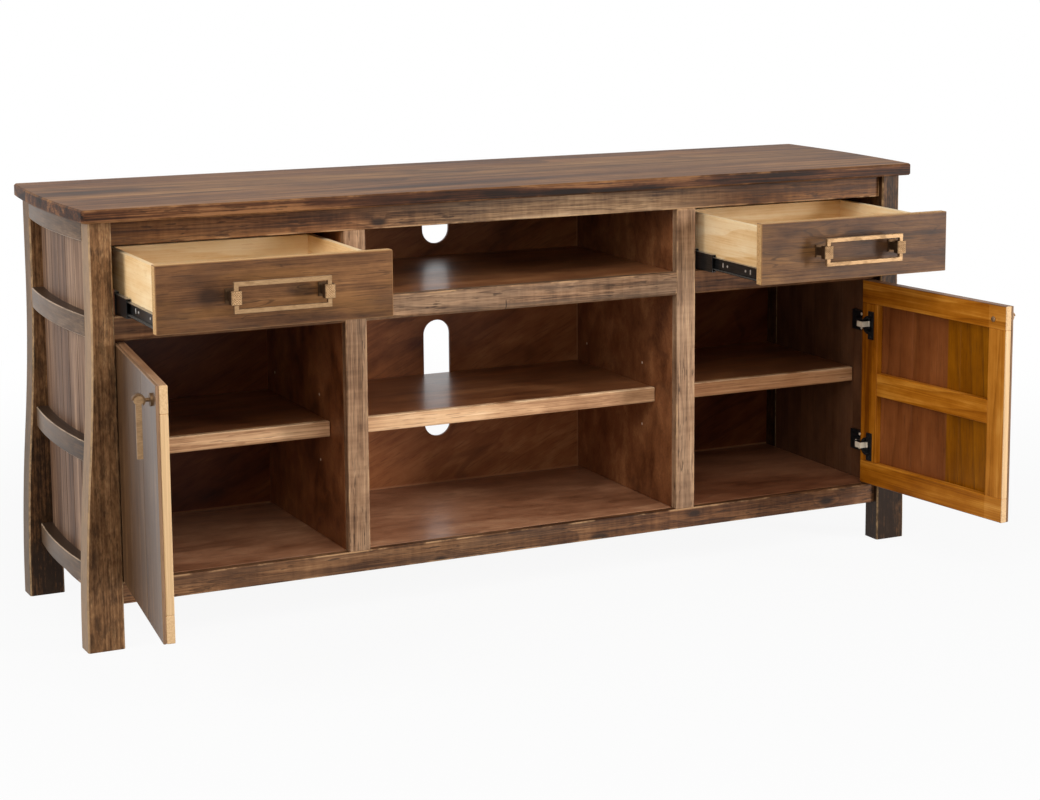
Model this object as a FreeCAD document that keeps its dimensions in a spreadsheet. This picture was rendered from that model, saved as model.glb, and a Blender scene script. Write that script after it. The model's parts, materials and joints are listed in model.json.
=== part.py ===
import FreeCAD, Part
import Sketcher
import math
import os
import re

# Cabinet with a plank top, flared legs and barrel-stave ends, shown with both
# doors open and both drawers pulled out.  Millimetres, +Z up, floor at zero,
# X along the front from left to right, Y from front to back.
SIZES = {
    # top
    "top_width": 1810, "top_depth": 505, "top_thick": 25, "total_height": 836,
    "top_round": 9, "top_ease": 3, "plank_front": 190, "plank_rear": 130,
    "end_bow": 12, "origin_from_front": 56.5,
    # legs
    "end_overhang": 16, "leg_width": 43, "foot_width": 70, "leg_depth": 48.5,
    "leg_setback": 22.5, "leg_rear_setback": 1, "flare_top": 660, "flare_foot": 12, "leg_ease": 3,
    # front frame
    "frame_setback": 13, "frame_thick": 20, "top_rail_high": 47, "drawer_opening": 132,
    "drawer_rail_high": 48, "bottom_rail_high": 42, "floor_gap": 83.5,
    "centre_bay": 690, "stile_width": 44, "board_ease": 1.2, "rail_bevel": 5,
    # ends
    "end_board": 19, "stave_count": 7, "stave_groove": 2.2, "hoop_thick": 24, "hoop_high": 40,
    "hoop_ease": 1.5, "hoop_second": 592, "hoop_third": 350, "hoop_fourth": 109.5,
    # inside boards
    "deck_thick": 18, "divider_thick": 12, "divider_lift": 12, "back_thick": 6, "back_inset": 1,
    "slot_width": 62, "low_slot_base": 231, "low_slot_long": 259,
    "high_slot_lift": 27, "high_slot_long": 121, "cut_past": 1,
    "shelf_top": 372, "shelf_thick": 20, "shelf_setback": 93, "shelf_play": 1,
    "lip_thick": 14, "lip_high": 31, "peg_radius": 3, "peg_long": 9, "peg_in": 45, "peg_play": 0.05,
    # drawers
    "drawer_gap": 5, "drawer_gap_high": 4, "drawer_thick": 20, "drawer_out": 259,
    "box_long": 350, "box_wall": 12, "box_high": 108, "box_lift": 4,
    "tray_thick": 6, "tray_lift": 10, "thin_ease": 0.8,
    # drawer slides
    "batten_thick": 11.5, "batten_high": 58, "slide_thick": 12.7, "slide_long": 350,
    "slide_low": 16, "slide_high": 45, "slide_skin": 1.5, "slide_play": 0.6,
    "slide_lip": 3.6, "carrier_lip": 4.7,
    "outer_deep": 9, "carrier_deep": 8.7, "carrier_back": 60, "runner_back": 2, "rail_back": 3,
    # drawer pulls
    "pull_wide": 183, "pull_high": 57, "pull_bar": 8, "pull_out": 35.5,
    "cap_wide": 20, "cap_high": 26, "cap_proud": 1.5, "cap_deep": 15,
    "stem_wide": 12, "stem_high": 16, "base_thick": 3, "metal_ease": 0.8,
    # doors
    "door_open": 97, "door_gap": 3, "hinge_gap": 4.5, "skin_thick": 6, "frame_wood": 15,
    "door_rail": 50, "door_stile": 51, "plank_count": 3,
    # hinges, measured from the hinge edge and the outer face of a shut door
    "pin_in": 10, "pin_deep": 10.2, "cup_in": 21.5, "cup_radius": 17.5, "cup_skin": 1, "cup_play": 0.15,
    "flange_thick": 1.5, "flange_lap": 2.5, "ear_high": 62, "ear_wide": 18, "ear_shift": 8.5,
    "pin_radius": 1.5, "pin_long": 23.4, "pin_play": 0.3, "hub_radius": 2.6, "link_high": 12,
    "link_thick": 2.5, "link_reach": 19, "link_back": 19, "arm_thick": 4, "arm_high": 16,
    "arm_long": 38, "arm_deep": 13, "plate_thick": 6, "plate_high": 44, "plate_long": 60,
    "hinge_low": 84, "hinge_high": 98,
    # door pulls
    "grip_in": 37, "grip_drop": 30, "rose_radius": 11.5, "rose_thick": 4, "neck_radius": 3.5,
    "ring_out": 23, "ring_radius": 11.5, "ring_hole": 8.6, "ring_wide": 12,
    "ring_cut_in": 7, "ring_cut_up": 1.5, "grip_play": 0.3, "grip_wide": 6, "grip_thick": 10,
    "grip_long": 102,
}

# Places, each written once from the sizes above.
PLACES = {
    "front_y": "-origin_from_front",
    "half_gap": "top_width / 2 - end_overhang - leg_width",
    "case_wide": "2 * half_gap",
    "leg_y": "front_y + leg_setback",
    "leg_back": "leg_y + leg_depth",
    "rear_leg_y": "front_y + top_depth - leg_rear_setback - leg_depth",
    "end_span": "rear_leg_y - leg_back",
    "end_radius": "(end_span * end_span / 4 + end_bow * end_bow) / (2 * end_bow)",
    "top_radius": "(top_depth * top_depth / 4 + end_bow * end_bow) / (2 * end_bow)",
    "under_top": "total_height - top_thick",
    "frame_y": "leg_y + frame_setback",
    "frame_back": "frame_y + frame_thick",
    "top_rail_z": "under_top - top_rail_high",
    "mid_z": "top_rail_z - drawer_opening",
    "mid_rail_z": "mid_z - drawer_rail_high",
    "deck_z": "floor_gap + bottom_rail_high",
    "back_face": "rear_leg_y + leg_depth - back_inset - back_thick",
    "slot_cut": "back_thick + 2 * cut_past",
    "slot_half": "slot_width / 2",
    "high_slot_base": "mid_z + high_slot_lift",
    "stile_in": "centre_bay / 2",
    "stile_out": "stile_in + stile_width",
    "bay_wide": "half_gap - stile_out",
    "inner_deep": "back_face - frame_back",
    "shelf_y": "frame_y + shelf_setback",
    "shelf_z": "shelf_top - shelf_thick",
    "shelf_deep": "back_face - shelf_play - shelf_y - lip_thick",
    "front_wide": "bay_wide - 2 * drawer_gap",
    "front_z": "mid_z + drawer_gap_high",
    "front_high": "drawer_opening - 2 * drawer_gap_high",
    "bay_mid": "(stile_out + half_gap) / 2",
    "side_inset": "batten_thick + slide_thick",
    "box_x": "stile_out + side_inset",
    "box_wide": "bay_wide - 2 * side_inset",
    "box_y": "frame_y + drawer_thick",
    "box_z": "front_z + box_lift",
    "slide_z": "front_z + slide_low",
    "batten_long": "rear_leg_y + leg_depth / 2 - frame_back",
    "carrier_high": "slide_high - 2 * slide_lip - 2 * slide_play",
    "runner_high": "carrier_high - 2 * carrier_lip - 2 * slide_play",
    "carrier_u": "slide_skin + slide_play",
    "runner_u": "carrier_u + slide_skin + slide_play",
    "carrier_end": "carrier_u + carrier_deep",
    "pull_y": "frame_y - pull_out",
    "pull_z": "front_z + front_high / 2",
    "post_x": "pull_wide / 2 - pull_bar / 2",
    "door_thick": "skin_thick + frame_wood",
    "door_wide": "bay_wide - door_gap - hinge_gap",
    "door_z": "deck_z + door_gap",
    "door_high": "mid_rail_z - 2 * door_gap - deck_z",
    "pin_x": "half_gap - hinge_gap - pin_in",
    "pin_y": "frame_y + pin_deep",
    "free_x": "pin_in - door_wide",
    "stile_high": "door_high - 2 * door_rail",
    "inner_face": "skin_thick - pin_deep",
    "back_of_door": "door_thick - pin_deep",
    "cup_x": "pin_in - cup_in",
    "ear_edge": "cup_x - ear_shift - ear_wide / 2",
    "bore_radius": "cup_radius + cup_play",
    "hinge_low_z": "door_z + hinge_low",
    "hinge_high_z": "door_z + door_high - hinge_high",
    "grip_x": "free_x + grip_in",
    "grip_y": "-pin_deep - ring_out",
    "grip_z": "door_z + door_high - grip_drop",
}

NODES = {}
X_AXIS = FreeCAD.Vector(1, 0, 0)
Y_AXIS = FreeCAD.Vector(0, 1, 0)
Z_AXIS = FreeCAD.Vector(0, 0, 1)
# An edge this close to a face, in millimetres, lies along it.
EDGE_NEAR = 1

doc = FreeCAD.newDocument("media_cabinet")
sheet = doc.addObject("Spreadsheet::Sheet", "dims")
for row, (word, number) in enumerate(SIZES.items(), start=1):
    sheet.set(f"A{row}", word)
    sheet.set(f"B{row}", str(number))
    sheet.setAlias(f"B{row}", word)
doc.recompute()


def full(text):
    """Writes a rule out in sheet cells only."""
    def swap(found):
        word = found.group(0)
        if word in PLACES:
            return "(" + full(PLACES[word]) + ")"
        if word in SIZES:
            return "dims." + word
        return word
    return re.sub(r"[A-Za-z_]\w*", swap, text)


def tie(thing, prop, text):
    """Binds a property to a rule."""
    thing.setExpression(prop, full(text))


def put(thing, place):
    """Binds where a thing sits."""
    for axis, text in zip("xyz", place):
        tie(thing, "Placement.Base." + axis, text)


def ride_drawer(body):
    """Carries a piece out with its drawer."""
    tie(body, "Placement.Base.y", "-drawer_out")


def ride_carrier(body):
    """Carries a piece out half as far as its drawer."""
    tie(body, "Placement.Base.y", "-drawer_out / 2")


def ride_door(body):
    """Swings a piece out with its door about the hinge pin."""
    body.Placement.Rotation = FreeCAD.Rotation(Z_AXIS, 1)
    put(body, ("pin_x", "pin_y", "0"))
    tie(body, "Placement.Rotation.Angle", "door_open")


def new_body(name, ride=None):
    body = doc.addObject("PartDesign::Body", name)
    if ride:
        ride(body)
    return body


def box(body, kind, place, size):
    """Adds a block to a body or takes one away."""
    count = len(body.Group)
    block = body.newObject(f"PartDesign::{kind}Box", f"{body.Name}_{kind.lower()}_{count}")
    for prop, text in zip(("Length", "Width", "Height"), size):
        tie(block, prop, text)
    put(block, place)
    return block


def rod(body, kind, place, radius, length, axis=Z_AXIS):
    """Adds a round bar to a body or takes one away."""
    count = len(body.Group)
    bar = body.newObject(f"PartDesign::{kind}Cylinder", f"{body.Name}_{kind.lower()}_{count}")
    bar.Placement.Rotation = FreeCAD.Rotation(Z_AXIS, axis)
    tie(bar, "Radius", radius)
    tie(bar, "Height", length)
    put(bar, place)
    return bar


def soften(body, base, edges, size, kind="Chamfer"):
    """Eases named edges of a body."""
    cut = body.newObject(f"PartDesign::{kind}", f"{body.Name}_ease_{len(body.Group)}")
    cut.Base = (base, edges)
    tie(cut, "Radius" if kind == "Fillet" else "Size", size)
    return cut


def edges_where(shape, test):
    """Names the edges of a shape that pass a test."""
    return [f"Edge{k}" for k, edge in enumerate(shape.Edges, start=1) if test(edge)]


def board(name, place, size, ride=None, ease="board_ease"):
    """A straight board with eased edges."""
    body = new_body(name, ride)
    block = box(body, "Additive", place, size)
    soften(body, block, [f"Edge{k}" for k in range(1, 13)], ease)
    return body


def bevelled_rail(name, place, size):
    """A rail with a broad bevel along its lower front edge."""
    body = new_body(name)
    block = box(body, "Additive", place, size)
    doc.recompute()
    room = block.Shape.BoundBox

    def in_front(edge):
        return edge.BoundBox.YMax < room.YMin + EDGE_NEAR

    lower = edges_where(block.Shape, lambda e: in_front(e) and e.BoundBox.ZMax < room.ZMin + EDGE_NEAR)
    bevel = soften(body, block, lower, "rail_bevel")
    doc.recompute()
    upper = edges_where(bevel.Shape, lambda e: in_front(e) and e.BoundBox.ZMin > room.ZMax - EDGE_NEAR)
    soften(body, bevel, upper, "board_ease")
    return body


def sketch_in(body, role):
    """A sketch on one of a body's own planes."""
    plane = next(item for item in body.Origin.OriginFeatures if item.Role == role)
    sketch = body.newObject("Sketcher::SketchObject", body.Name + "_outline")
    sketch.AttachmentSupport = [(plane, "")]
    sketch.MapMode = "FlatFace"
    return sketch


def rule(sketch, text, *parts):
    """Adds a sketch rule and binds it to a size."""
    count = sketch.addConstraint(Sketcher.Constraint(*parts))
    tie(sketch, f"Constraints[{count}]", text)


def keep(sketch, *rules):
    """Adds sketch rules that carry no size."""
    for parts in rules:
        sketch.addConstraint(Sketcher.Constraint(*parts))


def arc(centre_x, centre_y, radius, start, end):
    circle = Part.Circle(FreeCAD.Vector(centre_x, centre_y, 0), Z_AXIS, radius)
    return Part.ArcOfCircle(circle, start, end)


def line(x0, y0, x1, y1):
    return Part.LineSegment(FreeCAD.Vector(x0, y0, 0), FreeCAD.Vector(x1, y1, 0))


def pad(body, sketch, length, backward=False):
    solid = body.newObject("PartDesign::Pad", body.Name + "_pad")
    solid.Profile = sketch
    solid.Reversed = backward
    tie(solid, "Length", length)
    sketch.Visibility = False
    return solid


def group(name, items):
    """Several separate solids under one name."""
    gathered = doc.addObject("Part::Compound", name)
    gathered.Links = items
    return gathered


def mirror(name, source):
    """The same piece on the left."""
    copy = doc.addObject("Part::Mirroring", name)
    copy.Source = source
    copy.Normal = X_AXIS
    return copy


def node(thing):
    NODES[thing.Label] = thing
    return thing


def both_sides(base, thing):
    """Hands in a right-hand piece and its left-hand twin."""
    node(thing)
    node(mirror(base + "_left", thing))


# Plank top with bowed ends, cut into three planks that run lengthwise.
slab = new_body("top_outline")
outline = sketch_in(slab, "XY_Plane")
wide, deep, bow = SIZES["top_width"], SIZES["top_depth"], SIZES["end_bow"]
big = (deep * deep / 4 + bow * bow) / (2 * bow)
lean = math.asin(deep / 2 / big)
outline.addGeometry(line(0, 0, wide, 0))
outline.addGeometry(arc(wide + bow - big, deep / 2, big, -lean, lean))
outline.addGeometry(line(wide, deep, 0, deep))
outline.addGeometry(arc(big - bow, deep / 2, big, math.pi - lean, math.pi + lean))
keep(outline, ("Coincident", 0, 1, -1, 1), ("Coincident", 0, 2, 1, 1), ("Coincident", 1, 2, 2, 1),
     ("Coincident", 2, 2, 3, 1), ("Coincident", 3, 2, 0, 1), ("Horizontal", 0), ("Horizontal", 2),
     ("Equal", 0, 2), ("Vertical", 1, 1, 1, 2), ("Equal", 1, 3))
rule(outline, "top_width", "DistanceX", 0, 1, 0, 2, wide)
rule(outline, "top_depth", "DistanceY", 1, 1, 1, 2, deep)
rule(outline, "top_radius", "Radius", 1, big)
sheet_of_wood = pad(slab, outline, "top_thick")
put(slab, ("-top_width / 2", "front_y", "under_top"))
doc.recompute()
upright = edges_where(sheet_of_wood.Shape, lambda e: abs(e.tangentAt(e.FirstParameter).z) > 0.9)
rounded = soften(slab, sheet_of_wood, upright, "top_round", "Fillet")
doc.recompute()
rims = edges_where(rounded.Shape, lambda e: abs(e.tangentAt(e.FirstParameter).z) < 0.1)
soften(slab, rounded, rims, "top_ease")
PLANKS = (("top_plank_front", "front_y", "plank_front"),
          ("top_plank_middle", "front_y + plank_front", "top_depth - plank_front - plank_rear"),
          ("top_plank_rear", "front_y + top_depth - plank_rear", "plank_rear"))
for name, start, width in PLANKS:
    strip = doc.addObject("Part::Box", name + "_strip")
    tie(strip, "Length", "top_width + 4 * end_bow")
    tie(strip, "Width", width)
    tie(strip, "Height", "top_thick")
    put(strip, ("-top_width / 2 - 2 * end_bow", start, "under_top"))
    plank = doc.addObject("Part::Common", name)
    plank.Base = slab
    plank.Tool = strip
    node(plank)

# Legs, straight above and swept outward at the foot along two equal arcs.
high = SIZES["total_height"] - SIZES["top_thick"]
slim, stout = SIZES["leg_width"], SIZES["foot_width"]
turn_top, turn_foot = SIZES["flare_top"], SIZES["flare_foot"]
half_rise, half_run = (turn_top - turn_foot) / 2, (stout - slim) / 2
sweep = (half_rise ** 2 + half_run ** 2) / (2 * half_run)
bend = math.asin(half_rise / sweep)
for end, start in (("front", "leg_y"), ("rear", "rear_leg_y")):
    leg = new_body(f"leg_{end}_right")
    outline = sketch_in(leg, "XZ_Plane")
    outline.addGeometry(line(0, 0, 0, high))
    outline.addGeometry(line(0, high, slim, high))
    outline.addGeometry(line(slim, high, slim, turn_top))
    outline.addGeometry(arc(slim + sweep, turn_top, sweep, math.pi, math.pi + bend))
    outline.addGeometry(arc(stout - sweep, turn_foot, sweep, 0, bend))
    outline.addGeometry(line(stout, turn_foot, stout, 0))
    outline.addGeometry(line(stout, 0, 0, 0))
    keep(outline, ("Coincident", 0, 1, -1, 1), ("Coincident", 0, 2, 1, 1), ("Coincident", 1, 2, 2, 1),
         ("Tangent", 2, 2, 3, 1), ("Tangent", 3, 2, 4, 2), ("Tangent", 4, 1, 5, 1),
         ("Coincident", 5, 2, 6, 1), ("Coincident", 6, 2, 0, 1), ("Vertical", 0), ("Horizontal", 1),
         ("Vertical", 2), ("Vertical", 5), ("Horizontal", 6), ("Equal", 3, 4))
    rule(outline, "under_top", "DistanceY", 0, 1, 0, 2, high)
    rule(outline, "leg_width", "DistanceX", 1, 1, 1, 2, slim)
    rule(outline, "flare_top", "DistanceY", -1, 1, 2, 2, turn_top)
    rule(outline, "foot_width", "DistanceX", 6, 2, 6, 1, stout)
    rule(outline, "flare_foot", "DistanceY", 5, 2, 5, 1, turn_foot)
    post = pad(leg, outline, "leg_depth", backward=True)
    put(leg, ("half_gap", start, "0"))
    doc.recompute()
    rising = edges_where(post.Shape, lambda e: e.BoundBox.ZLength > EDGE_NEAR)
    soften(leg, post, rising, "leg_ease")
    both_sides(f"leg_{end}", leg)


def bowed(name, thick, place, height, flat_back):
    """A bar between the legs whose outer face is an arc in plan."""
    body = new_body(name)
    sketch = sketch_in(body, "XY_Plane")
    span = SIZES["top_depth"] - SIZES["leg_setback"] - SIZES["leg_rear_setback"] - 2 * SIZES["leg_depth"]
    depth = SIZES[thick]
    radius = (span * span / 4 + bow * bow) / (2 * bow)
    half = math.asin(span / 2 / radius)
    if flat_back:
        sketch.addGeometry(line(0, 0, 0, span))
    else:
        sketch.addGeometry(arc(bow - radius, span / 2, radius, -half, half))
    sketch.addGeometry(line(0, span, depth, span))
    sketch.addGeometry(arc(depth + bow - radius, span / 2, radius, -half, half))
    sketch.addGeometry(line(0, 0, depth, 0))
    keep(sketch, ("Coincident", 0, 1, -1, 1), ("PointOnObject", 0, 2, -2), ("Coincident", 0, 2, 1, 1),
         ("Coincident", 1, 2, 2, 2), ("Coincident", 3, 1, 0, 1), ("Coincident", 3, 2, 2, 1),
         ("Horizontal", 1), ("Horizontal", 3), ("Equal", 1, 3))
    if not flat_back:
        keep(sketch, ("Equal", 0, 2))
    rule(sketch, thick, "DistanceX", 3, 1, 3, 2, depth)
    rule(sketch, "end_span", "DistanceY", 0, 1, 0, 2, span)
    rule(sketch, "end_radius", "Radius", 2, radius)
    solid = pad(body, sketch, height)
    put(body, place)
    return body, solid


# Barrel-stave ends: one bowed panel with V grooves, parted along the grooves.
panel, panel_pad = bowed("end_panel", "end_board", ("half_gap", "leg_back", "floor_gap"),
                         "under_top - floor_gap", True)
staves = []
count = round(SIZES["stave_count"])
for k in range(1, count):
    where = f"{k} * end_span / {count}"
    rise = f"sqrt(end_radius * end_radius - pow({where} - end_span / 2; 2)) - end_radius + end_bow"
    groove = box(panel, "Subtractive", (f"end_board + {rise} - stave_groove / sqrt(2)", where, "-cut_past"),
                 ("stave_groove", "stave_groove", "under_top"))
    groove.Placement.Rotation = FreeCAD.Rotation(Z_AXIS, -45)
for k in range(count):
    strip = doc.addObject("Part::Box", f"stave_strip_{k}")
    tie(strip, "Length", "end_board + 2 * end_bow")
    tie(strip, "Width", f"end_span / {count}")
    tie(strip, "Height", "under_top")
    put(strip, ("half_gap", f"leg_back + {k} * end_span / {count}", "0"))
    stave = doc.addObject("Part::Common", f"stave_{k}")
    stave.Base = panel
    stave.Tool = strip
    staves.append(stave)
both_sides("staves", group("staves_right", staves))

# Four hoops round each end, bowed like the staves.
hoops = []
for k, base in enumerate(("under_top - hoop_high", "hoop_second", "hoop_third", "hoop_fourth")):
    hoop, ring = bowed(f"hoop_{k}", "hoop_thick", ("half_gap + end_board", "leg_back", base),
                       "hoop_high", False)
    doc.recompute()
    outside = SIZES["hoop_thick"] - EDGE_NEAR
    outer = edges_where(ring.Shape, lambda e: e.BoundBox.XMin > outside and e.BoundBox.YLength > EDGE_NEAR)
    soften(hoop, ring, outer, "hoop_ease")
    hoops.append(hoop)
both_sides("hoops", group("hoops_right", hoops))

# Front frame.
node(board("top_rail", ("-half_gap", "frame_y", "top_rail_z"), ("case_wide", "frame_thick", "top_rail_high")))
node(board("bottom_rail", ("-half_gap", "frame_y", "floor_gap"),
           ("case_wide", "frame_thick", "bottom_rail_high")))
node(bevelled_rail("centre_rail", ("-stile_in", "frame_y", "mid_rail_z"),
                   ("centre_bay", "frame_thick", "drawer_rail_high")))
both_sides("stile", board("stile_right", ("stile_in", "frame_y", "deck_z"),
                          ("stile_width", "frame_thick", "top_rail_z - deck_z")))
drawer_rail = bevelled_rail("drawer_rail", ("stile_out", "frame_y", "mid_rail_z"),
                            ("bay_wide", "frame_thick", "drawer_rail_high"))
node(group("drawer_rails", [drawer_rail, mirror("drawer_rail_twin", drawer_rail)]))

# Carcass.
both_sides("partition", board("partition_right", ("stile_in", "frame_back", "deck_z"),
                              ("stile_width", "inner_deep", "under_top - deck_z")))
node(board("deck", ("-half_gap", "frame_back", "deck_z - deck_thick"),
           ("case_wide", "inner_deep", "deck_thick")))
node(board("upper_shelf", ("-stile_in", "frame_back", "mid_z - deck_thick"),
           ("centre_bay", "inner_deep", "deck_thick")))
divider = board("divider", ("stile_out", "frame_back", "mid_rail_z + divider_lift"),
                ("bay_wide", "inner_deep", "divider_thick"))
node(group("drawer_dividers", [divider, mirror("divider_twin", divider)]))

# Back panel with two round-ended cable slots.
back = board("back_panel", ("-half_gap", "back_face", "floor_gap"),
             ("case_wide", "back_thick", "under_top - floor_gap"), ease="thin_ease")
for base, long in (("low_slot_base", "low_slot_long"), ("high_slot_base", "high_slot_long")):
    box(back, "Subtractive", ("-slot_half", "back_face - cut_past", f"{base} + slot_half"),
        ("slot_width", "slot_cut", f"{long} - slot_width"))
    for level in (f"{base} + slot_half", f"{base} + {long} - slot_half"):
        rod(back, "Subtractive", ("0", "back_face - cut_past", level), "slot_half", "slot_cut", Y_AXIS)
node(back)

# Adjustable shelves on pegs, each with a deep front lip.
BAYS = (("centre", "-stile_in", "centre_bay"), ("side", "stile_out", "bay_wide"))
lips, pegs = [], []
for bay, start, width in BAYS:
    plate = board(f"shelf_{bay}", (f"{start} + shelf_play", "shelf_y + lip_thick", "shelf_z"),
                  (f"{width} - 2 * shelf_play", "shelf_deep", "shelf_thick"))
    lip = board(f"lip_{bay}", (f"{start} + shelf_play", "shelf_y", "shelf_top - lip_high"),
                (f"{width} - 2 * shelf_play", "lip_thick", "lip_high"))
    lips.append(lip)
    for spot, inset in (("near", "shelf_y + lip_thick + peg_in"),
                        ("far", "shelf_y + lip_thick + shelf_deep - peg_in")):
        for hand, place in (("low", start), ("high", f"{start} + {width} - peg_long")):
            peg = new_body(f"peg_{bay}_{spot}_{hand}")
            stub = peg.newObject("PartDesign::AdditivePrism", peg.Name + "_stub")
            stub.Polygon = 6
            stub.Placement.Rotation = FreeCAD.Rotation(Z_AXIS, X_AXIS)
            tie(stub, "Circumradius", "peg_radius")
            tie(stub, "Height", "peg_long")
            put(stub, (place, inset, "shelf_z - peg_radius - peg_play"))
            pegs.append(peg)
    if bay == "side":
        node(group("side_shelves", [plate, mirror("shelf_twin", plate)]))
        lips.append(mirror("lip_twin", lip))
        pegs += [mirror(peg.Name + "_twin", peg) for peg in pegs[-4:]]
    else:
        node(plate)
node(group("shelf_lips", lips))
node(group("shelf_pegs", pegs))


def across(hand, near, far):
    """The low x of a span measured inward from a batten, at the wall or at the partition."""
    if hand == "wall":
        return f"half_gap - batten_thick - ({far})"
    return f"stile_out + batten_thick + {near}"


def channel(name, hand, near, far, height, start, length, lip, ride=None):
    """A steel channel with returned lips that opens toward the drawer."""
    body = new_body(name, ride)
    span = f"{far} - ({near})"
    box(body, "Additive", (across(hand, near, far), start, f"slide_z - {height} / 2"),
        (span, length, height))
    inside_near, inside_far = f"{near} + slide_skin", f"{far} - slide_skin"
    box(body, "Subtractive",
        (across(hand, inside_near, inside_far), f"{start} - cut_past",
         f"slide_z - {height} / 2 + slide_skin"),
        (f"{span} - 2 * slide_skin", f"{length} + 2 * cut_past", f"{height} - 2 * slide_skin"))
    box(body, "Subtractive",
        (across(hand, inside_far, f"{far} + cut_past"), f"{start} - cut_past",
         f"slide_z - {height} / 2 + {lip}"),
        ("slide_skin + cut_past", f"{length} + 2 * cut_past", f"{height} - 2 * {lip}"))
    return body


# Drawer slides: battens, case members, carriers and drawer members.
battens, outers, carriers, runners = [], [], [], []
for hand in ("wall", "post"):
    place = "half_gap - batten_thick" if hand == "wall" else "stile_out"
    battens.append(board(f"batten_{hand}", (place, "frame_back", "slide_z - batten_high / 2"),
                         ("batten_thick", "batten_long", "batten_high")))
    outers.append(channel(f"outer_{hand}", hand, "0", "outer_deep", "slide_high",
                          "frame_back + rail_back", "slide_long", "slide_lip"))
    carriers.append(channel(f"carrier_{hand}", hand, "carrier_u", "carrier_end", "carrier_high",
                            "frame_back + rail_back + carrier_back", "slide_long - carrier_back",
                            "carrier_lip", ride_carrier))
    runner = new_body(f"runner_{hand}", ride_drawer)
    box(runner, "Additive", (across(hand, "runner_u", "slide_thick"), "box_y + runner_back",
                             "slide_z - runner_high / 2"),
        ("slide_thick - runner_u", "box_long - runner_back", "runner_high"))
    box(runner, "Subtractive", (across(hand, "runner_u - cut_past", "slide_thick - slide_skin"), "box_y",
                                "slide_z - runner_high / 2 + slide_skin"),
        ("slide_thick - slide_skin - runner_u + cut_past", "box_long + cut_past",
         "runner_high - 2 * slide_skin"))
    runners.append(runner)
node(group("slide_battens", battens + [mirror(item.Name + "_twin", item) for item in battens]))
node(group("slide_outers", outers + [mirror(item.Name + "_twin", item) for item in outers]))
both_sides("slide_carriers", group("slide_carriers_right", carriers))
both_sides("slide_runners", group("slide_runners_right", runners))

# Drawers.
both_sides("drawer_front", board("drawer_front_right", ("stile_out + drawer_gap", "frame_y", "front_z"),
                                 ("front_wide", "drawer_thick", "front_high"), ride_drawer))
sides = [board(f"drawer_side_{k}", (place, "box_y", "box_z"), ("box_wall", "box_long", "box_high"),
               ride_drawer, "thin_ease")
         for k, place in enumerate(("box_x", "box_x + box_wide - box_wall"))]
both_sides("drawer_sides", group("drawer_sides_right", sides))
both_sides("drawer_back", board("drawer_back_right",
                                ("box_x + box_wall", "box_y + box_long - box_wall", "box_z"),
                                ("box_wide - 2 * box_wall", "box_wall", "box_high"), ride_drawer,
                                "thin_ease"))
both_sides("drawer_tray", board("drawer_tray_right", ("box_x + box_wall", "box_y", "box_z + tray_lift"),
                                ("box_wide - 2 * box_wall", "box_long - box_wall", "tray_thick"),
                                ride_drawer, "thin_ease"))

# Drawer pulls: a square loop held by two capped posts.
loop = new_body("pull_loop_right", ride_drawer)
bar = box(loop, "Additive", ("bay_mid - pull_wide / 2", "pull_y", "pull_z - pull_high / 2"),
          ("pull_wide", "pull_bar", "pull_high"))
soften(loop, bar, [f"Edge{k}" for k in range(1, 13)], "metal_ease")
box(loop, "Subtractive",
    ("bay_mid - pull_wide / 2 + pull_bar", "pull_y - cut_past", "pull_z - pull_high / 2 + pull_bar"),
    ("pull_wide - 2 * pull_bar", "pull_bar + 2 * cut_past", "pull_high - 2 * pull_bar"))
both_sides("pull_loop", loop)
posts = []
for k, middle in enumerate(("bay_mid - post_x", "bay_mid + post_x")):
    post = new_body(f"pull_post_{k}", ride_drawer)
    cap = box(post, "Additive", (f"{middle} - cap_wide / 2", "pull_y - cap_proud", "pull_z - cap_high / 2"),
              ("cap_wide", "cap_deep", "cap_high"))
    soften(post, cap, [f"Edge{n}" for n in range(1, 13)], "metal_ease")
    box(post, "Additive", (f"{middle} - stem_wide / 2", "pull_y", "pull_z - stem_high / 2"),
        ("stem_wide", "pull_out", "stem_high"))
    box(post, "Additive", (f"{middle} - cap_wide / 2", "frame_y - base_thick", "pull_z - cap_high / 2"),
        ("cap_wide", "base_thick", "cap_high"))
    box(post, "Subtractive", (f"{middle} - pull_bar / 2", "pull_y", "pull_z - cap_high"),
        ("pull_bar", "pull_bar", "2 * cap_high"))
    posts.append(post)
both_sides("pull_posts", group("pull_posts_right", posts))

# Doors: upright planks on a frame of rails and stiles.
HINGES = ("hinge_low_z", "hinge_high_z")
planks = []
plank_count = round(SIZES["plank_count"])
for k in range(plank_count):
    plank_x = f"free_x + {k} * door_wide / {plank_count}"
    planks.append(board(f"door_plank_{k}", (plank_x, "-pin_deep", "door_z"),
                        (f"door_wide / {plank_count}", "skin_thick", "door_high"), ride_door))
both_sides("door_planks", group("door_planks_right", planks))
rails = [board("door_rail_low", ("free_x", "inner_face", "door_z"), ("door_wide", "frame_wood", "door_rail"),
               ride_door),
         board("door_rail_mid",
               ("free_x + door_stile", "inner_face", "door_z + door_high / 2 - door_rail / 2"),
               ("door_wide - 2 * door_stile", "frame_wood", "door_rail"), ride_door),
         board("door_rail_top", ("free_x", "inner_face", "door_z + door_high - door_rail"),
               ("door_wide", "frame_wood", "door_rail"), ride_door)]
both_sides("door_rails", group("door_rails_right", rails))
free_stile = board("door_stile_free", ("free_x", "inner_face", "door_z + door_rail"),
                   ("door_stile", "frame_wood", "stile_high"), ride_door)
hinge_stile = board("door_stile_hinge", ("pin_in - door_stile", "inner_face", "door_z + door_rail"),
                    ("door_stile", "frame_wood", "stile_high"), ride_door)
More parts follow.
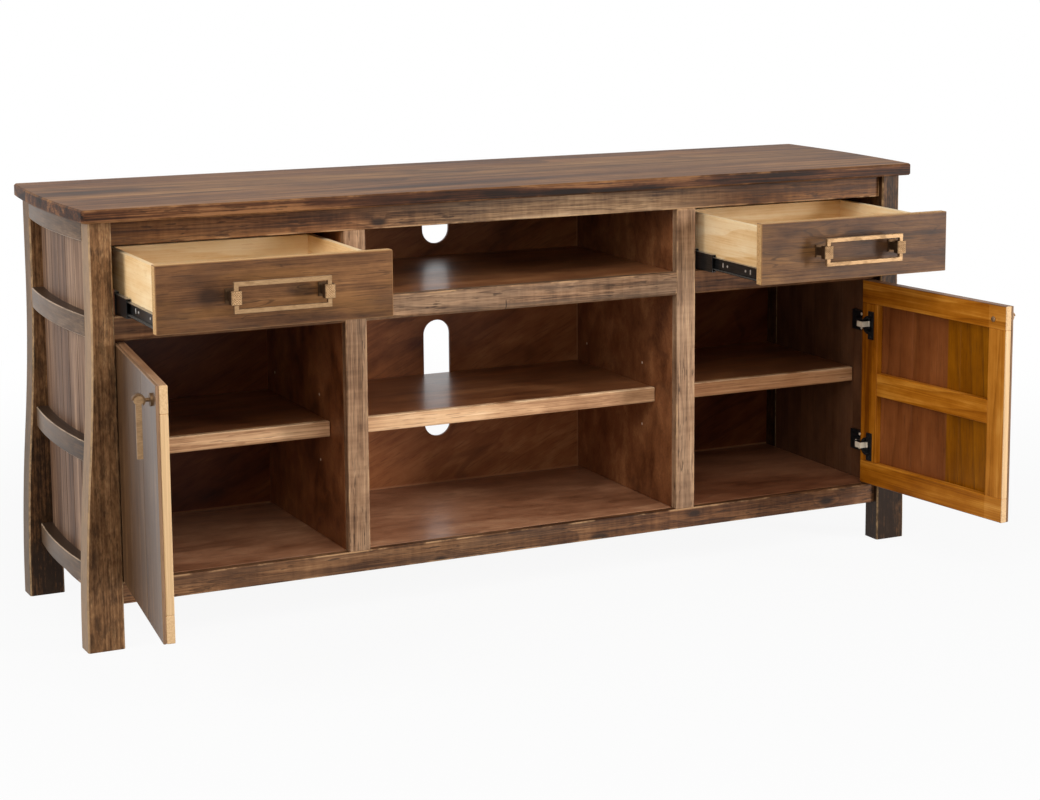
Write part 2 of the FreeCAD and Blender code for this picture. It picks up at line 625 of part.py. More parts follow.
for level in HINGES:
    rod(hinge_stile, "Subtractive", ("cup_x", "inner_face - cut_past", level), "bore_radius",
        "frame_wood + 2 * cut_past", Y_AXIS)
both_sides("door_stiles", group("door_stiles_right", [free_stile, hinge_stile]))

# Hinges: a cup let into the door down to its planks, with a flange whose ears lie
# further from the hinge edge, a pin across the cup, and a goose-necked link that
# leaves the cup and is held by an arm on the case wall.
cups, links, arms = [], [], []
for k, level in enumerate(HINGES):
    cup = new_body(f"cup_{k}", ride_door)
    rod(cup, "Additive", ("cup_x", "back_of_door", level), "cup_radius + flange_lap", "flange_thick", Y_AXIS)
    box(cup, "Subtractive", ("ear_edge - cup_radius", "back_of_door", f"{level} - ear_high / 2"),
        ("cup_radius", "flange_thick", "ear_high"))
    box(cup, "Additive", ("ear_edge", "back_of_door", f"{level} - ear_high / 2"),
        ("ear_wide", "flange_thick", "ear_high"))
    rod(cup, "Additive", ("cup_x", "inner_face", level), "cup_radius", "frame_wood", Y_AXIS)
    rod(cup, "Subtractive", ("cup_x", "inner_face + cup_skin", level), "cup_radius - cup_skin",
        "door_thick", Y_AXIS)
    rod(cup, "Additive", ("0", "0", f"{level} - pin_long / 2"), "pin_radius", "pin_long")
    cups.append(cup)
    link = new_body(f"link_{k}")
    put(link, ("pin_x", "pin_y", level))
    rod(link, "Additive", ("0", "0", "-link_high / 2"), "hub_radius", "link_high")
    box(link, "Additive", ("-link_reach", "-link_thick / 2", "-link_high / 2"),
        ("link_reach", "link_thick", "link_high"))
    box(link, "Additive", ("-link_reach", "-link_thick / 2", "-link_high / 2"),
        ("link_thick", "link_thick / 2 + link_back", "link_high"))
    rod(link, "Subtractive", ("0", "0", "-link_high"), "pin_radius + pin_play", "2 * link_high")
    links.append(link)
    arm = new_body(f"arm_{k}")
    put(arm, ("pin_x", "pin_y", level))
    box(arm, "Additive", ("-link_reach", "link_back", "-arm_high / 2"),
        ("link_reach + pin_in + hinge_gap", "arm_thick", "arm_high"))
    box(arm, "Additive", ("pin_in + hinge_gap - arm_deep", "link_back", "-arm_high / 2"),
        ("arm_deep", "arm_long", "arm_high"))
    box(arm, "Additive", ("pin_in + hinge_gap - plate_thick", "link_back", "-plate_high / 2"),
        ("plate_thick", "plate_long", "plate_high"))
    arms.append(arm)
both_sides("hinge_cups", group("hinge_cups_right", cups))
node(group("hinge_links", links + [mirror(item.Name + "_twin", item) for item in links]))
node(group("hinge_arms", arms + [mirror(item.Name + "_twin", item) for item in arms]))

# Door pulls: an open ring on a rose, and a drop bar whose round head turns in it.
ring = new_body("grip_mount_right", ride_door)
rod(ring, "Additive", ("grip_x", "-pin_deep - rose_thick", "grip_z"), "rose_radius", "rose_thick", Y_AXIS)
rod(ring, "Additive", ("grip_x", "grip_y + ring_hole", "grip_z"), "neck_radius", "ring_out - ring_hole",
    Y_AXIS)
rod(ring, "Additive", ("grip_x - ring_wide / 2", "grip_y", "grip_z"), "ring_radius", "ring_wide", X_AXIS)
rod(ring, "Subtractive", ("grip_x - ring_wide", "grip_y", "grip_z"), "ring_hole", "2 * ring_wide", X_AXIS)
box(ring, "Subtractive", ("grip_x - ring_wide", "grip_y - 2 * ring_radius", "grip_z - 2 * ring_radius"),
    ("2 * ring_wide", "2 * ring_radius + ring_cut_in", "2 * ring_radius + ring_cut_up"))
both_sides("grip_mount", ring)
grip = new_body("grip_bar_right", ride_door)
rod(grip, "Additive", ("grip_x - ring_wide / 2", "grip_y", "grip_z"), "ring_hole - grip_play", "ring_wide",
    X_AXIS)
box(grip, "Additive", ("grip_x - grip_wide / 2", "grip_y - grip_thick / 2", "grip_z - grip_long"),
    ("grip_wide", "grip_thick", "grip_long"))
both_sides("grip_bar", grip)

doc.recompute()
for thing in doc.Objects:
    if "Invalid" in thing.State or "Error" in thing.State:
        raise RuntimeError(f"{thing.Label} did not build: {thing.State}")
os.makedirs("parts", exist_ok=True)
for label, thing in NODES.items():
    shape = thing.Shape
    if shape.isNull() or not shape.isValid() or not shape.Solids:
        raise RuntimeError(f"{label} has no sound solid")
    shape.exportStep(f"parts/{label}.step")
print(len(NODES), "nodes", sum(len(thing.Shape.Solids) for thing in NODES.values()), "solids")
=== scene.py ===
"""Looks of the plank-topped tv stand: finishes of its CAD nodes, small fittings, studio light and camera."""

import json
import math

import bmesh
import bpy
from mathutils import Matrix, Vector


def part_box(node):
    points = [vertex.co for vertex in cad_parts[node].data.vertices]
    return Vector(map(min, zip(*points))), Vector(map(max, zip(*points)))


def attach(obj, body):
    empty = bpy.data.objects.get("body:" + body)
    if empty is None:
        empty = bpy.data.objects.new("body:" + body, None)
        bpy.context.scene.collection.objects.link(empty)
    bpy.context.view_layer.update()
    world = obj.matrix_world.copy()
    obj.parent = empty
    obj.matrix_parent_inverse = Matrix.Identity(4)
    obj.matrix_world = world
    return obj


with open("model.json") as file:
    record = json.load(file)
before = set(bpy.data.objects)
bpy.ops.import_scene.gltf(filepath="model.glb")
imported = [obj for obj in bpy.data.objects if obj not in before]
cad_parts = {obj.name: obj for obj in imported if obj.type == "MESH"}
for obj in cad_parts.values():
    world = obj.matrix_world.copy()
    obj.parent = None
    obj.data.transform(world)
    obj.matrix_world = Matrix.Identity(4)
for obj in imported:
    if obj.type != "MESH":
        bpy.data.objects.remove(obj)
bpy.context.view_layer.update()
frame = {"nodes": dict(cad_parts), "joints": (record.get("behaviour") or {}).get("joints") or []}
nodes = frame["nodes"]

SIDES = {"left": -1, "right": 1}
JOINTS = {joint["name"]: joint for joint in frame["joints"]}
DOOR_PIN = {side: Vector(JOINTS[f"{side}_door_hinge"]["pos_m"]) for side in SIDES}
DOOR_OPEN = math.radians(-JOINTS["left_door_hinge"]["range_deg"][0])

# Counts, and measures in metres, that the frame's boxes don't give
DOOR_WIDE, PLANK_COUNT, STAVE_COUNT = 0.4495, 3, 7
PIN_IN = 0.010  # from the door's hinge edge to the pin
RAIL_HALF = 0.85  # from the middle to the ends of the front rails
FRAME_STILE = 0.051  # width of the door frame's stiles
YELLOW_WIDE = 0.188  # of the yellow part inside a door, from its free edge
CAP_WIDE, CAP_HIGH, CAP_DEEP = 0.020, 0.026, 0.009  # of the drawer pulls' caps
RIGHT_CUPBOARD = (0.386, 0.391)  # x where the right cupboard begins
SKIN = 0.0015  # of the slides' drawer members

# Soft steps that several finishes share
RIM_BAND = (0.004, 0.0015)  # the last millimetres before an edge
SQUARE_ON = (0.5, 0.68)  # a face that looks along a direction, eased arrises too


def stain(red, green, blue):
    """A colour given as screen values from 0 to 255, in the linear values that a shader takes."""
    def linear(value):
        share = value / 255
        return share / 12.92 if share <= 0.04045 else ((share + 0.055) / 1.055) ** 2.4
    return (linear(red), linear(green), linear(blue), 1.0)


class Flow:
    """A socket of a finish. Sums, products and powers of flows add Math nodes to the finish."""

    def __init__(self, finish, socket):
        self.finish = finish
        self.socket = socket

    def math(self, operation, first, second):
        """A Math node of two values."""
        return self.finish.add("ShaderNodeMath", {"operation": operation}, {0: first, 1: second})

    def __add__(self, other):
        return self.math("ADD", self, other)

    def __radd__(self, other):
        return self.math("ADD", other, self)

    def __sub__(self, other):
        return self.math("SUBTRACT", self, other)

    def __rsub__(self, other):
        return self.math("SUBTRACT", other, self)

    def __mul__(self, other):
        return self.math("MULTIPLY", self, other)

    def __truediv__(self, other):
        return self.math("DIVIDE", self, other)

    def __rpow__(self, other):
        return self.math("POWER", other, self)


class Shading:
    """A node tree that is built up node by node."""

    def __init__(self, owner):
        owner.use_nodes = True
        self.tree = owner.node_tree
        self.tree.nodes.clear()

    def add(self, kind, settings=None, sockets=None, out=0):
        """A node of that kind: its settings first, then its sockets' values or links. Gives one output."""
        node = self.tree.nodes.new(kind)
        for key, value in (settings or {}).items():
            if key == "stops":
                while len(node.color_ramp.elements) < len(value):
                    node.color_ramp.elements.new(0.5)
                for element, (position, colour) in zip(node.color_ramp.elements, value):
                    element.position = position
                    element.color = colour
            else:
                setattr(node, key, value)
        for key, value in (sockets or {}).items():
            if isinstance(value, Flow):
                self.tree.links.new(value.socket, node.inputs[key])
            else:
                node.inputs[key].default_value = value
        return Flow(self, node.outputs[out]) if len(node.outputs) else None

    def split(self, vector):
        """The three numbers of a vector."""
        first = self.add("ShaderNodeSeparateXYZ", None, {0: vector})
        node = first.socket.node
        return [Flow(self, socket) for socket in node.outputs]

    def join(self, x, y, z):
        """A vector of three numbers."""
        return self.add("ShaderNodeCombineXYZ", None, {0: x, 1: y, 2: z})

    def least(self, one, two):
        """The smaller of two values."""
        return self.add("ShaderNodeMath", {"operation": "MINIMUM"}, {0: one, 1: two})

    def most(self, one, two):
        """The larger of two values."""
        return self.add("ShaderNodeMath", {"operation": "MAXIMUM"}, {0: one, 1: two})

    def plain(self, operation, value):
        """A Math node of one value, such as ABSOLUTE, FRACT or FLOOR."""
        return self.add("ShaderNodeMath", {"operation": operation}, {0: value})

    def band(self, value, start, end):
        """A soft step from 0 at start to 1 at end; start may lie above end."""
        return self.add("ShaderNodeMapRange", {"interpolation_type": "SMOOTHSTEP"},
                        {"Value": value, "From Min": start, "From Max": end})

    def noise(self, vector, stretch, detail=2.0, rough=0.5, seed=0.0):
        """Cloudy noise from 0 to 1, with so many clouds a metre along each of the three directions."""
        spot = self.add("ShaderNodeMapping", None,
                        {"Vector": vector, "Scale": stretch, "Location": (seed, seed * 1.7, seed * 0.6)})
        return self.add("ShaderNodeTexNoise", None,
                        {"Vector": spot, "Scale": 1.0, "Detail": detail, "Roughness": rough})

    def mix(self, share, one, two, way="MIX"):
        """A colour between one and two."""
        return self.add("ShaderNodeMix", {"data_type": "RGBA", "blend_type": way},
                        {0: share, 6: one, 7: two}, out=2)

    def ramp(self, value, stops):
        """The colour that the stops, pairs of a position and a colour, give a value."""
        return self.add("ShaderNodeValToRGB", {"stops": stops}, {0: value})

    def seen(self):
        """1 for rays from the camera, mirrors and glass, and 0 for the light that falls on things."""
        camera, mirror, glass = (self.add("ShaderNodeLightPath", out=f"Is {way} Ray")
                                 for way in ("Camera", "Glossy", "Transmission"))
        return self.most(camera, self.most(mirror, glass))


class Finish(Shading):
    """A procedural material."""

    def __init__(self, name):
        self.material = bpy.data.materials.new(name)
        super().__init__(self.material)

    def close(self, colour, rough, height=None, relief=0.0005, strength=0.5, **constant):
        """Joins the surface to the output; height, from 0 to 1, stands relief metres high."""
        sockets = {"Base Color": colour, "Roughness": rough}
        sockets.update({key.replace("_", " "): value for key, value in constant.items()})
        if height is not None:
            sockets["Normal"] = self.add("ShaderNodeBump", None,
                                         {"Strength": strength, "Distance": relief, "Height": height})
        surface = self.add("ShaderNodeBsdfPrincipled", None, sockets)
        self.add("ShaderNodeOutputMaterial", None, {"Surface": surface})
        return self.material


class Timber(Finish):
    """A finish with a board's grain in it. Its layers run from 0 to 1: ring, line, fibre, streak, pore, fleck,
    patch, cloud and mottle."""

    def __init__(self, name, grain, shift=(0.0, 0.0, 0.0), turned=None, boards=None, ring=60.0, pith=(0.02, 0.16),
                 taper=0.05, wander=0.035, lean=0.0, knots=()):
        super().__init__(name)
        place = self.add("ShaderNodeTexCoord", out="Object")
        facing = self.add("ShaderNodeTexCoord", out="Normal")
        if turned:
            pin, angle = turned
            turn = {"rotation_type": "Z_AXIS"}
            place = self.add("ShaderNodeVectorRotate", turn, {"Vector": place, "Center": pin, "Angle": angle})
            facing = self.add("ShaderNodeVectorRotate", turn, {"Vector": facing, "Angle": angle})
        self.x, self.y, self.z = self.split(place)
        self.nx, self.ny, self.nz = self.split(facing)
        along, across, deep = {"x": (self.x, self.z, self.y), "y": (self.y, self.x, self.z),
                               "z": (self.z, self.x, self.y)}[grain]
        if lean:
            along, across = (along * math.cos(lean) + across * math.sin(lean),
                             across * math.cos(lean) - along * math.sin(lean))
        swell = 0.0
        self.knot = 0.0
        for spot_along, spot_across, size in knots:
            reach = self.join((along - spot_along) * (0.45 / size), (across - spot_across) / size, 0.0)
            gap = self.add("ShaderNodeVectorMath", {"operation": "LENGTH"}, {0: reach}, out="Value")
            hump = math.e ** (gap * gap * -1.0)
            swell = swell + hump * (size * 1.4)
            self.knot = self.most(self.band(gap, 0.8, 0.25), self.knot)
        self.luck = 0.5
        self.board = 0.0
        if boards:
            axis, start, width = boards
            self.board = self.plain("FLOOR", (getattr(self, axis) - start) / width)
            self.luck = self.add("ShaderNodeTexWhiteNoise", {"noise_dimensions": "1D"}, {"W": self.board + 0.37},
                                 out="Value")
            along = along + self.luck * 7.3
            deep = deep + self.luck * 0.05
        self.run = self.join(along + shift[0], across + shift[1], deep + shift[2])
        drift = self.noise(self.run, (1.3, 6.0, 6.0), 2.0, 0.5)
        quiver = self.noise(self.run, (9.0, 45.0, 45.0), 1.0, 0.5, seed=4.1)
        sway = (drift - 0.5) * wander + (quiver - 0.5) * (wander * 0.12)
        from_pith = self.join(across + (shift[1] - pith[0]) + sway, deep + (shift[2] - pith[1]) + sway, 0.0)
        spread = self.add("ShaderNodeVectorMath", {"operation": "LENGTH"}, {0: from_pith}, out="Value")
        growth = self.plain("FRACT", (spread + along * taper + swell) * ring)
        self.cloud = self.noise(self.run, (4.5, 14.0, 14.0), 3.0, 0.6, seed=9.3)
        self.ring = self.least(self.band(growth, 0.0, 0.85), self.band(growth, 1.0, 0.92))
        self.line = self.least(self.band(growth, 0.72, 0.93), self.band(growth, 1.0, 0.95)) * self.band(
            self.cloud, 0.36, 0.62)
        self.fibre = self.noise(self.run, (4.0, 330.0, 330.0), 3.0, 0.6, seed=1.3)
        self.streak = self.noise(self.run, (1.3, 52.0, 52.0), 3.0, 0.6, seed=7.9)
        self.pore = self.band(self.noise(self.run, (22.0, 420.0, 420.0), 1.0, 0.5, seed=2.2), 0.60, 0.68)
        self.fleck = self.band(self.noise(self.run, (26.0, 190.0, 190.0), 2.0, 0.6, seed=8.8), 0.60, 0.66)
        self.patch = self.band(self.noise(self.run, (1.7, 8.0, 8.0), 3.0, 0.55, seed=5.5), 0.30, 0.70)
        self.mottle = self.noise(self.run, (13.0, 26.0, 26.0), 4.0, 0.62, seed=3.7)

    def vein(self, stretch, width, seed):
        """Thin wandering lines, 1 on the line, along the contours of a slow noise."""
        slow = self.noise(self.run, stretch, 2.0, 0.5, seed)
        return self.band(self.plain("ABSOLUTE", self.plain("FRACT", slow * 5.0) - 0.5), width, width * 0.3)

    def edge_gap(self, low, high, mirrored=False):
        """How far a point on a box's face lies from the nearest edge of the box, in metres."""
        x = self.plain("ABSOLUTE", self.x) if mirrored else self.x
        gaps = [self.least(value - lo, hi - value) for value, lo, hi in zip((x, self.y, self.z), low, high)]
        one, two, three = gaps
        return self.most(self.least(one, two), self.least(self.most(one, two), three))

    def slant(self):
        """1 on eased edges, whose faces look along none of the three directions, and 0 on flat faces."""
        widest = self.most(self.most(self.plain("ABSOLUTE", self.nx), self.plain("ABSOLUTE", self.ny)),
                           self.plain("ABSOLUTE", self.nz))
        return self.band(widest, 0.96, 0.82)

    def facing(self, normal, low=0.75, high=0.92):
        """1 on faces that look along a direction, either way; normal is that direction's share of the normal."""
        return self.band(self.plain("ABSOLUTE", normal), low, high)

    def tone(self, ring=0.1, fibre=0.4, streak=0.4, patch=0.25, mottle=0.2, gain=1.0):
        """One number for a stain's ramp, around 0.5, from the layers in those shares."""
        return 0.5 + ((self.ring - 0.5) * (-ring * gain) + (self.fibre - 0.5) * (fibre * 1.8 * gain)
                      + (self.streak - 0.5) * (streak * 2.0 * gain) + (self.patch - 0.5) * (patch * gain)
                      + (self.mottle - 0.5) * (mottle * 2.0 * gain))

    def stained(self, tone, deep, middle, light, pale):
        """The stain over the grain, from its deepest to its palest colour."""
        return self.ramp(tone, [(0.1, stain(*deep)), (0.4, stain(*middle)), (0.63, stain(*light)),
                                (0.92, stain(*pale))])

    def relief(self):
        """The grain's height for a bump."""
        return self.fibre * 0.5 + self.ring * 0.1 - self.pore * 0.4 - self.fleck * 0.25 + 0.4


def dress(finish, *names):
    """Gives CAD nodes a finish."""
    for name in names:
        slots = nodes[name].data.materials
        slots.clear()
        slots.append(finish)


# Finishes of the wood

def top_finish(name, shift, tint, box):
    """Brown satin boards with long dark streaks, redder and worn along the slab's rim."""
    t = Timber(name, "x", shift, ring=36, pith=(0.1, 0.35), taper=0.03, wander=0.08)
    flat = t.stained(t.tone(0.14, 0.4, 0.5, 0.3, gain=1.2), (54, 32, 16), (101, 67, 39), (127, 89, 53),
                     (160, 118, 75))
    flat = t.mix(t.line * 0.45, flat, stain(48, 30, 19))
    flat = t.mix(0.5, flat, tint, "MULTIPLY")
    rim = t.stained(t.tone(0.2, 0.6, 0.6, 0.4, 0.3, gain=1.35), (22, 11, 5), (60, 33, 18), (84, 51, 29),
                    (132, 90, 56))
    rim = t.mix(t.fleck * 0.5, rim, stain(26, 14, 8))
    side = t.band(t.plain("ABSOLUTE", t.nz), 0.9, 0.55)
    colour = t.mix(side, flat, rim)
    worn = t.band(t.edge_gap(*box), 0.005, 0.0012) * t.band(t.mottle, 0.48, 0.62)
    colour = t.mix(worn * 0.5, colour, stain(160, 116, 78))
    colour = t.mix(t.pore * 0.35, colour, stain(38, 24, 15))
    rough = 0.52 + (t.fibre - 0.5) * 0.2 + worn * 0.12
    return t.close(colour, rough, t.relief(), 0.0006, 0.35, Specular_IOR_Level=0.12)


def case_finish(name, grain, shift, box, shades, mirrored=False, knots=(), grey=0.5, light_and_shade_stops=None, split=None,
                lively=1.0):
    """Brown hardwood with grey washes, dark flecks, a light ripple across the grain and rubbed edges. Painted light
    and shade change the colour along the front as the given stops say, from the left end to the right. A split
    runs up from the lower edge."""
    t = Timber(name, grain, shift, ring=50, pith=(0.05, 0.22), taper=0.04, wander=0.06, knots=knots)
    ripple = t.noise(t.run, (85.0, 9.0, 9.0), 2.0, 0.6, seed=3.4)
    tone = t.tone(0.12, 0.72 * lively, 0.5 * lively, 0.35, 0.3, gain=1.15) + (ripple - 0.5) * 0.32
    colour = t.stained(tone, *shades)
    wash = t.band(t.noise(t.run, (2.2, 16.0, 16.0), 4.0, 0.62, seed=6.6), 0.46, 0.60)
    colour = t.mix(wash * grey, colour, stain(112, 90, 71))
    # painted light and shade along the front, darker towards both ends
    if light_and_shade_stops:
        colour = t.mix(1.0, colour, t.ramp((t.x + RAIL_HALF) / (2 * RAIL_HALF), light_and_shade_stops), "MULTIPLY")
    colour = t.mix(t.line * (0.4 * lively), colour, stain(58, 36, 22))
    colour = t.mix(t.vein((2.0, 22.0, 22.0), 0.06, 12.7) * t.band(t.cloud, 0.44, 0.6) * (0.6 * lively), colour,
                   stain(52, 33, 21))
    colour = t.mix(t.fleck * t.band(t.cloud, 0.42, 0.56) * 0.7, colour, stain(44, 28, 18))
    colour = t.mix(t.pore * 0.45, colour, stain(54, 34, 21))
    colour = t.mix(t.knot * 0.88, colour, stain(30, 19, 13))
    if split is not None:
        crack = t.band(t.plain("ABSOLUTE", t.x - split + (t.fibre - 0.5) * 0.002), 0.0016, 0.0006)
        colour = t.mix(crack * t.band(t.z, box[0].z + 0.022, box[0].z + 0.016) * 0.85, colour, stain(34, 21, 14))
    worn = t.band(t.edge_gap(*box, mirrored), 0.004, 0.001) * t.band(t.mottle, 0.47, 0.60)
    colour = t.mix(worn * 0.6, colour, stain(194, 154, 112))
    rough = 0.5 + (t.fibre - 0.5) * 0.2 + worn * 0.1
    return t.close(colour, rough, t.relief(), 0.0008, 0.45, Specular_IOR_Level=0.16)


def leg_finish(name, shift, sign, leg_shade, outer_face_light):
    """Dark brown posts, paler upwards, with mottled clouds and rubbed arrises. Painted light makes the outer faces
    pale; painted shade darkens the inner faces and each whole leg by a given amount.
    """
    t = Timber(name, "z", shift, ring=40, pith=(0.9, 0.2), taper=0.03, wander=0.05)
    grit = t.noise(t.run, (60.0, 150.0, 150.0), 3.0, 0.65, seed=23.3)
    # painted shade: depth darkens each whole leg, the front right one most, in the open door's shadow
    tone = t.tone(0.06, 0.5, 0.3, 0.2, 0.35) + (grit - 0.5) * 0.75 + (t.z - 0.4) * 0.28 - leg_shade
    colour = t.stained(tone, (36, 22, 11), (92, 62, 37), (122, 87, 56), (162, 124, 86))
    gloom = t.band(t.noise(t.run, (22.0, 70.0, 70.0), 5.0, 0.7, seed=3.7), 0.5, 0.6)
    colour = t.mix(gloom * 0.45, colour, stain(50, 34, 20))
    colour = t.mix(t.fleck * 0.45, colour, stain(32, 20, 12))
    colour = t.mix(t.pore * 0.3, colour, stain(36, 23, 14))
    # painted highlight: the outer side face, lit from the side, is paler
    outer = t.band(t.nx * sign, 0.6, 0.72) * (0.75 + (t.fibre - 0.5) * 0.5)
    colour = t.mix(outer * outer_face_light, colour, stain(164, 138, 110))
    # painted shade: the inner side face is darker
    colour = t.mix(t.band(t.nx * sign, -0.6, -0.72) * 0.4, colour, stain(48, 31, 19))
    worn = t.slant() * (0.35 + t.band(grit, 0.42, 0.58) * 0.65)
    colour = t.mix(worn * 0.6, colour, stain(180, 146, 106))
    rough = 0.46 + (t.fibre - 0.5) * 0.2
    return t.close(colour, rough, t.relief() - gloom * 0.15, 0.0008, 0.45, Specular_IOR_Level=0.13)


def drawer_finish(name, shift, box, knots, shades):
    """Figured brown drawer front with swirling thin dark lines, golden clouds and pale raw edges."""
    t = Timber(name, "x", shift, ring=26, pith=(0.7, 0.1), taper=0.05, wander=0.14, knots=knots)
    colour = t.stained(t.tone(0.12, 0.36, 0.2, 0.3, 0.3, gain=1.2), *shades)
    gold = t.band(t.noise(t.run, (4.0, 15.0, 15.0), 4.0, 0.6, seed=14.2), 0.46, 0.7)
    colour = t.mix(gold * 0.4, colour, stain(130, 90, 47))
    dusk = t.band(t.noise(t.run, (4.5, 15.0, 15.0), 4.0, 0.62, seed=21.4), 0.48, 0.68)
    colour = t.mix(dusk * 0.5, colour, stain(72, 52, 38))
    colour = t.mix(t.line * 0.3, colour, stain(44, 27, 17))
    for seed, stretch in ((5.2, (2.4, 18.0, 18.0)), (8.4, (3.4, 25.0, 25.0))):
        vein = t.vein(stretch, 0.045, seed) * t.band(t.noise(t.run, (5.0, 12.0, 12.0), seed=seed), 0.46, 0.6)
        colour = t.mix(vein * 0.5, colour, stain(38, 24, 16))
    colour = t.mix(t.pore * 0.4, colour, stain(42, 27, 17))
    colour = t.mix(t.knot * 0.55, colour, stain(38, 24, 16))
    worn = t.band(t.edge_gap(*box), 0.0022, 0.0008)
    colour = t.mix(worn * 0.35, colour, stain(178, 134, 88))
    raw = t.most(t.facing(t.nx), t.facing(t.nz))
    pale = t.ramp(t.fibre, [(0.3, stain(176, 132, 82)), (0.7, stain(222, 180, 126))])
    colour = t.mix(raw * 0.9, colour, pale)
    rough = 0.42 + (t.fibre - 0.5) * 0.18 + raw * 0.2
    return t.close(colour, rough, t.relief() - t.line * 0.2, 0.0005, 0.35, Specular_IOR_Level=0.16)


def stave_finish(name, start, width):
    """Pinkish brown staves with fine upright lines, each of its own shade, dark along the joints."""
    t = Timber(name, "z", (0.0, 0.0, 0.3), boards=("y", start, width), ring=90, pith=(0.4, 0.3), taper=0.005,
               wander=0.02)
    hair = t.noise(t.run, (1.6, 140.0, 140.0), 2.0, 0.6, seed=17.1)
    tone = t.tone(0.06, 0.42, 0.5, 0.2, 0.12, gain=1.35) + (hair - 0.5) * 0.5
    colour = t.stained(tone, (70, 48, 34), (118, 90, 70), (142, 114, 92), (172, 142, 118))
    colour = t.mix(t.line * 0.4, colour, stain(70, 48, 36))
    shade = t.ramp(t.luck, [(0.0, stain(196, 178, 166)), (1.0, stain(255, 248, 242))])
    colour = t.mix(0.6, colour, shade, "MULTIPLY")
    seam = t.plain("ABSOLUTE", (t.y - start) / width - t.board - 0.5)
    colour = t.mix(t.band(seam, 0.46, 0.49) * 0.8, colour, stain(44, 30, 22))
    inside = t.band(t.nx * t.x, -0.2, -0.5)
    colour = t.mix(inside * 0.9, colour, t.ramp(t.mottle, [(0.3, stain(72, 42, 24)), (0.7, stain(104, 66, 40))]))
    colour = t.mix(t.pore * 0.35, colour, stain(60, 42, 30))
    rough = 0.48 + (t.fibre - 0.5) * 0.2
    return t.close(colour, rough, t.relief(), 0.0006, 0.4, Specular_IOR_Level=0.15)


def hoop_finish(name):
    """Bent hoops, stained dark, with a painted grey sheen towards the back, dark upper faces and rubbed arrises."""
    t = Timber(name, "y", (0.3, 0.0, 0.0), ring=40, wander=0.02)
    colour = t.stained(t.tone(0.1, 0.5, 0.4, 0.3, 0.4, gain=1.1), (38, 25, 15), (74, 54, 37), (94, 71, 51),
                       (126, 101, 78))
    # painted reflection: a grey sheen towards the back
    colour = t.mix(t.band(t.y, 0.05, 0.36) * 0.3, colour, stain(118, 98, 80))
    colour = t.mix(t.pore * 0.3, colour, stain(46, 33, 25))
    colour = t.mix(t.band(t.nz, 0.5, 0.9) * 0.85, colour, stain(46, 33, 25))
    colour = t.mix(t.slant() * (0.45 + t.band(t.mottle, 0.4, 0.55) * 0.4), colour, stain(184, 158, 130))
    rough = 0.36 + (t.fibre - 0.5) * 0.2
    return t.close(colour, rough, t.relief(), 0.0004, 0.3, Specular_IOR_Level=0.12)


def veneer_finish(name, grain, shift, shades, gloss, lean=0.0, swirl=0.25, straight=0.2, seams=None, right_cupboard_shade=0.0):
    """Reddish brown satin veneer with swirling figure. The shelves' clear coat mirrors the cable slots. A panel
    with seams has a painted highlight, a pale line where it meets the case, and painted shade behind the doors. A
    floor may have painted shade in the right cupboard."""
    t = Timber(name, grain, shift, ring=18, pith=(0.3, 0.5), taper=0.16, wander=swirl, lean=lean)
    figure = t.noise(t.run, (5.0, 12.0, 12.0), 3.0, 0.6, seed=11.6)
    tone = t.tone(0.06, straight, straight * 0.8, 0.32, 0.34, gain=1.2) + (figure - 0.5) * 0.6
    colour = t.stained(tone, *shades)
    colour = t.mix(t.line * 0.12, colour, stain(78, 46, 28))
    colour = t.mix(t.vein((1.2, 4.5, 4.5), 0.05, 9.1) * t.band(t.cloud, 0.4, 0.6) * 0.35, colour, stain(74, 43, 26))
    colour = t.mix(t.pore * 0.3, colour, stain(70, 42, 26))
    if seams:
        wall, floor = seams
        width = t.plain("ABSOLUTE", t.x)
        inside = t.band(t.ny, -0.5, -0.8)
        # painted shade: the panel is darker inside the cupboards, behind the doors
        cupboard_shade = t.band(width, wall + 0.041, wall + 0.046) * inside
        colour = t.mix(cupboard_shade, colour, stain(172, 150, 134), "MULTIPLY")
        # painted highlight: a pale line where the panel meets the walls and the floor
        seam = t.most(t.band(t.plain("ABSOLUTE", width - wall), 0.004, 0.0015),
                      t.band(t.z, floor + 0.0045, floor + 0.002))
        colour = t.mix(seam * inside * 0.45, colour, stain(190, 136, 96))
    # painted shade on the floor of the right cupboard, behind the open right door
    if right_cupboard_shade:
        colour = t.mix(t.band(t.x, *RIGHT_CUPBOARD) * right_cupboard_shade, colour, stain(196, 172, 158), "MULTIPLY")
    rough = 0.36 + (t.fibre - 0.5) * 0.1 + (t.patch - 0.5) * 0.08
    return t.close(colour, rough, t.relief(), 0.0003, 0.25, Specular_IOR_Level=0.15 + 0.3 * gloss,
                   Coat_Weight=0.3 * gloss, Coat_Roughness=0.2)


def lip_finish(name, shift, low, high):
    """Light orange-brown shelf lips with a pale rubbed upper edge; the one behind the right door is darker with
    painted shade.
    """
    t = Timber(name, "x", shift, ring=50, pith=(0.5, 0.2), taper=0.03, wander=0.04)
    colour = t.stained(t.tone(0.1, 0.45, 0.3, 0.3, 0.22, gain=1.15), (126, 86, 55), (184, 140, 101),
                       (212, 170, 128), (238, 204, 164))
    # painted shade: the lip in the right cupboard lies in the open right door's shadow
    colour = t.mix(t.band(t.x, *RIGHT_CUPBOARD), colour, stain(226, 206, 190), "MULTIPLY")
    colour = t.mix(t.pore * 0.45, colour, stain(118, 78, 48))
    upper = t.band(t.z, high - 0.0025, high - 0.0005) * t.band(t.mottle, 0.35, 0.55)
    colour = t.mix(upper * 0.6, colour, stain(246, 212, 168))
    under = t.band(t.z, low + 0.004, low) * t.band(t.mottle, 0.4, 0.6)
    colour = t.mix(under * 0.4, colour, stain(112, 72, 44))
    rough = 0.5 + (t.fibre - 0.5) * 0.2
    return t.close(colour, rough, t.relief(), 0.0005, 0.35, Specular_IOR_Level=0.2)


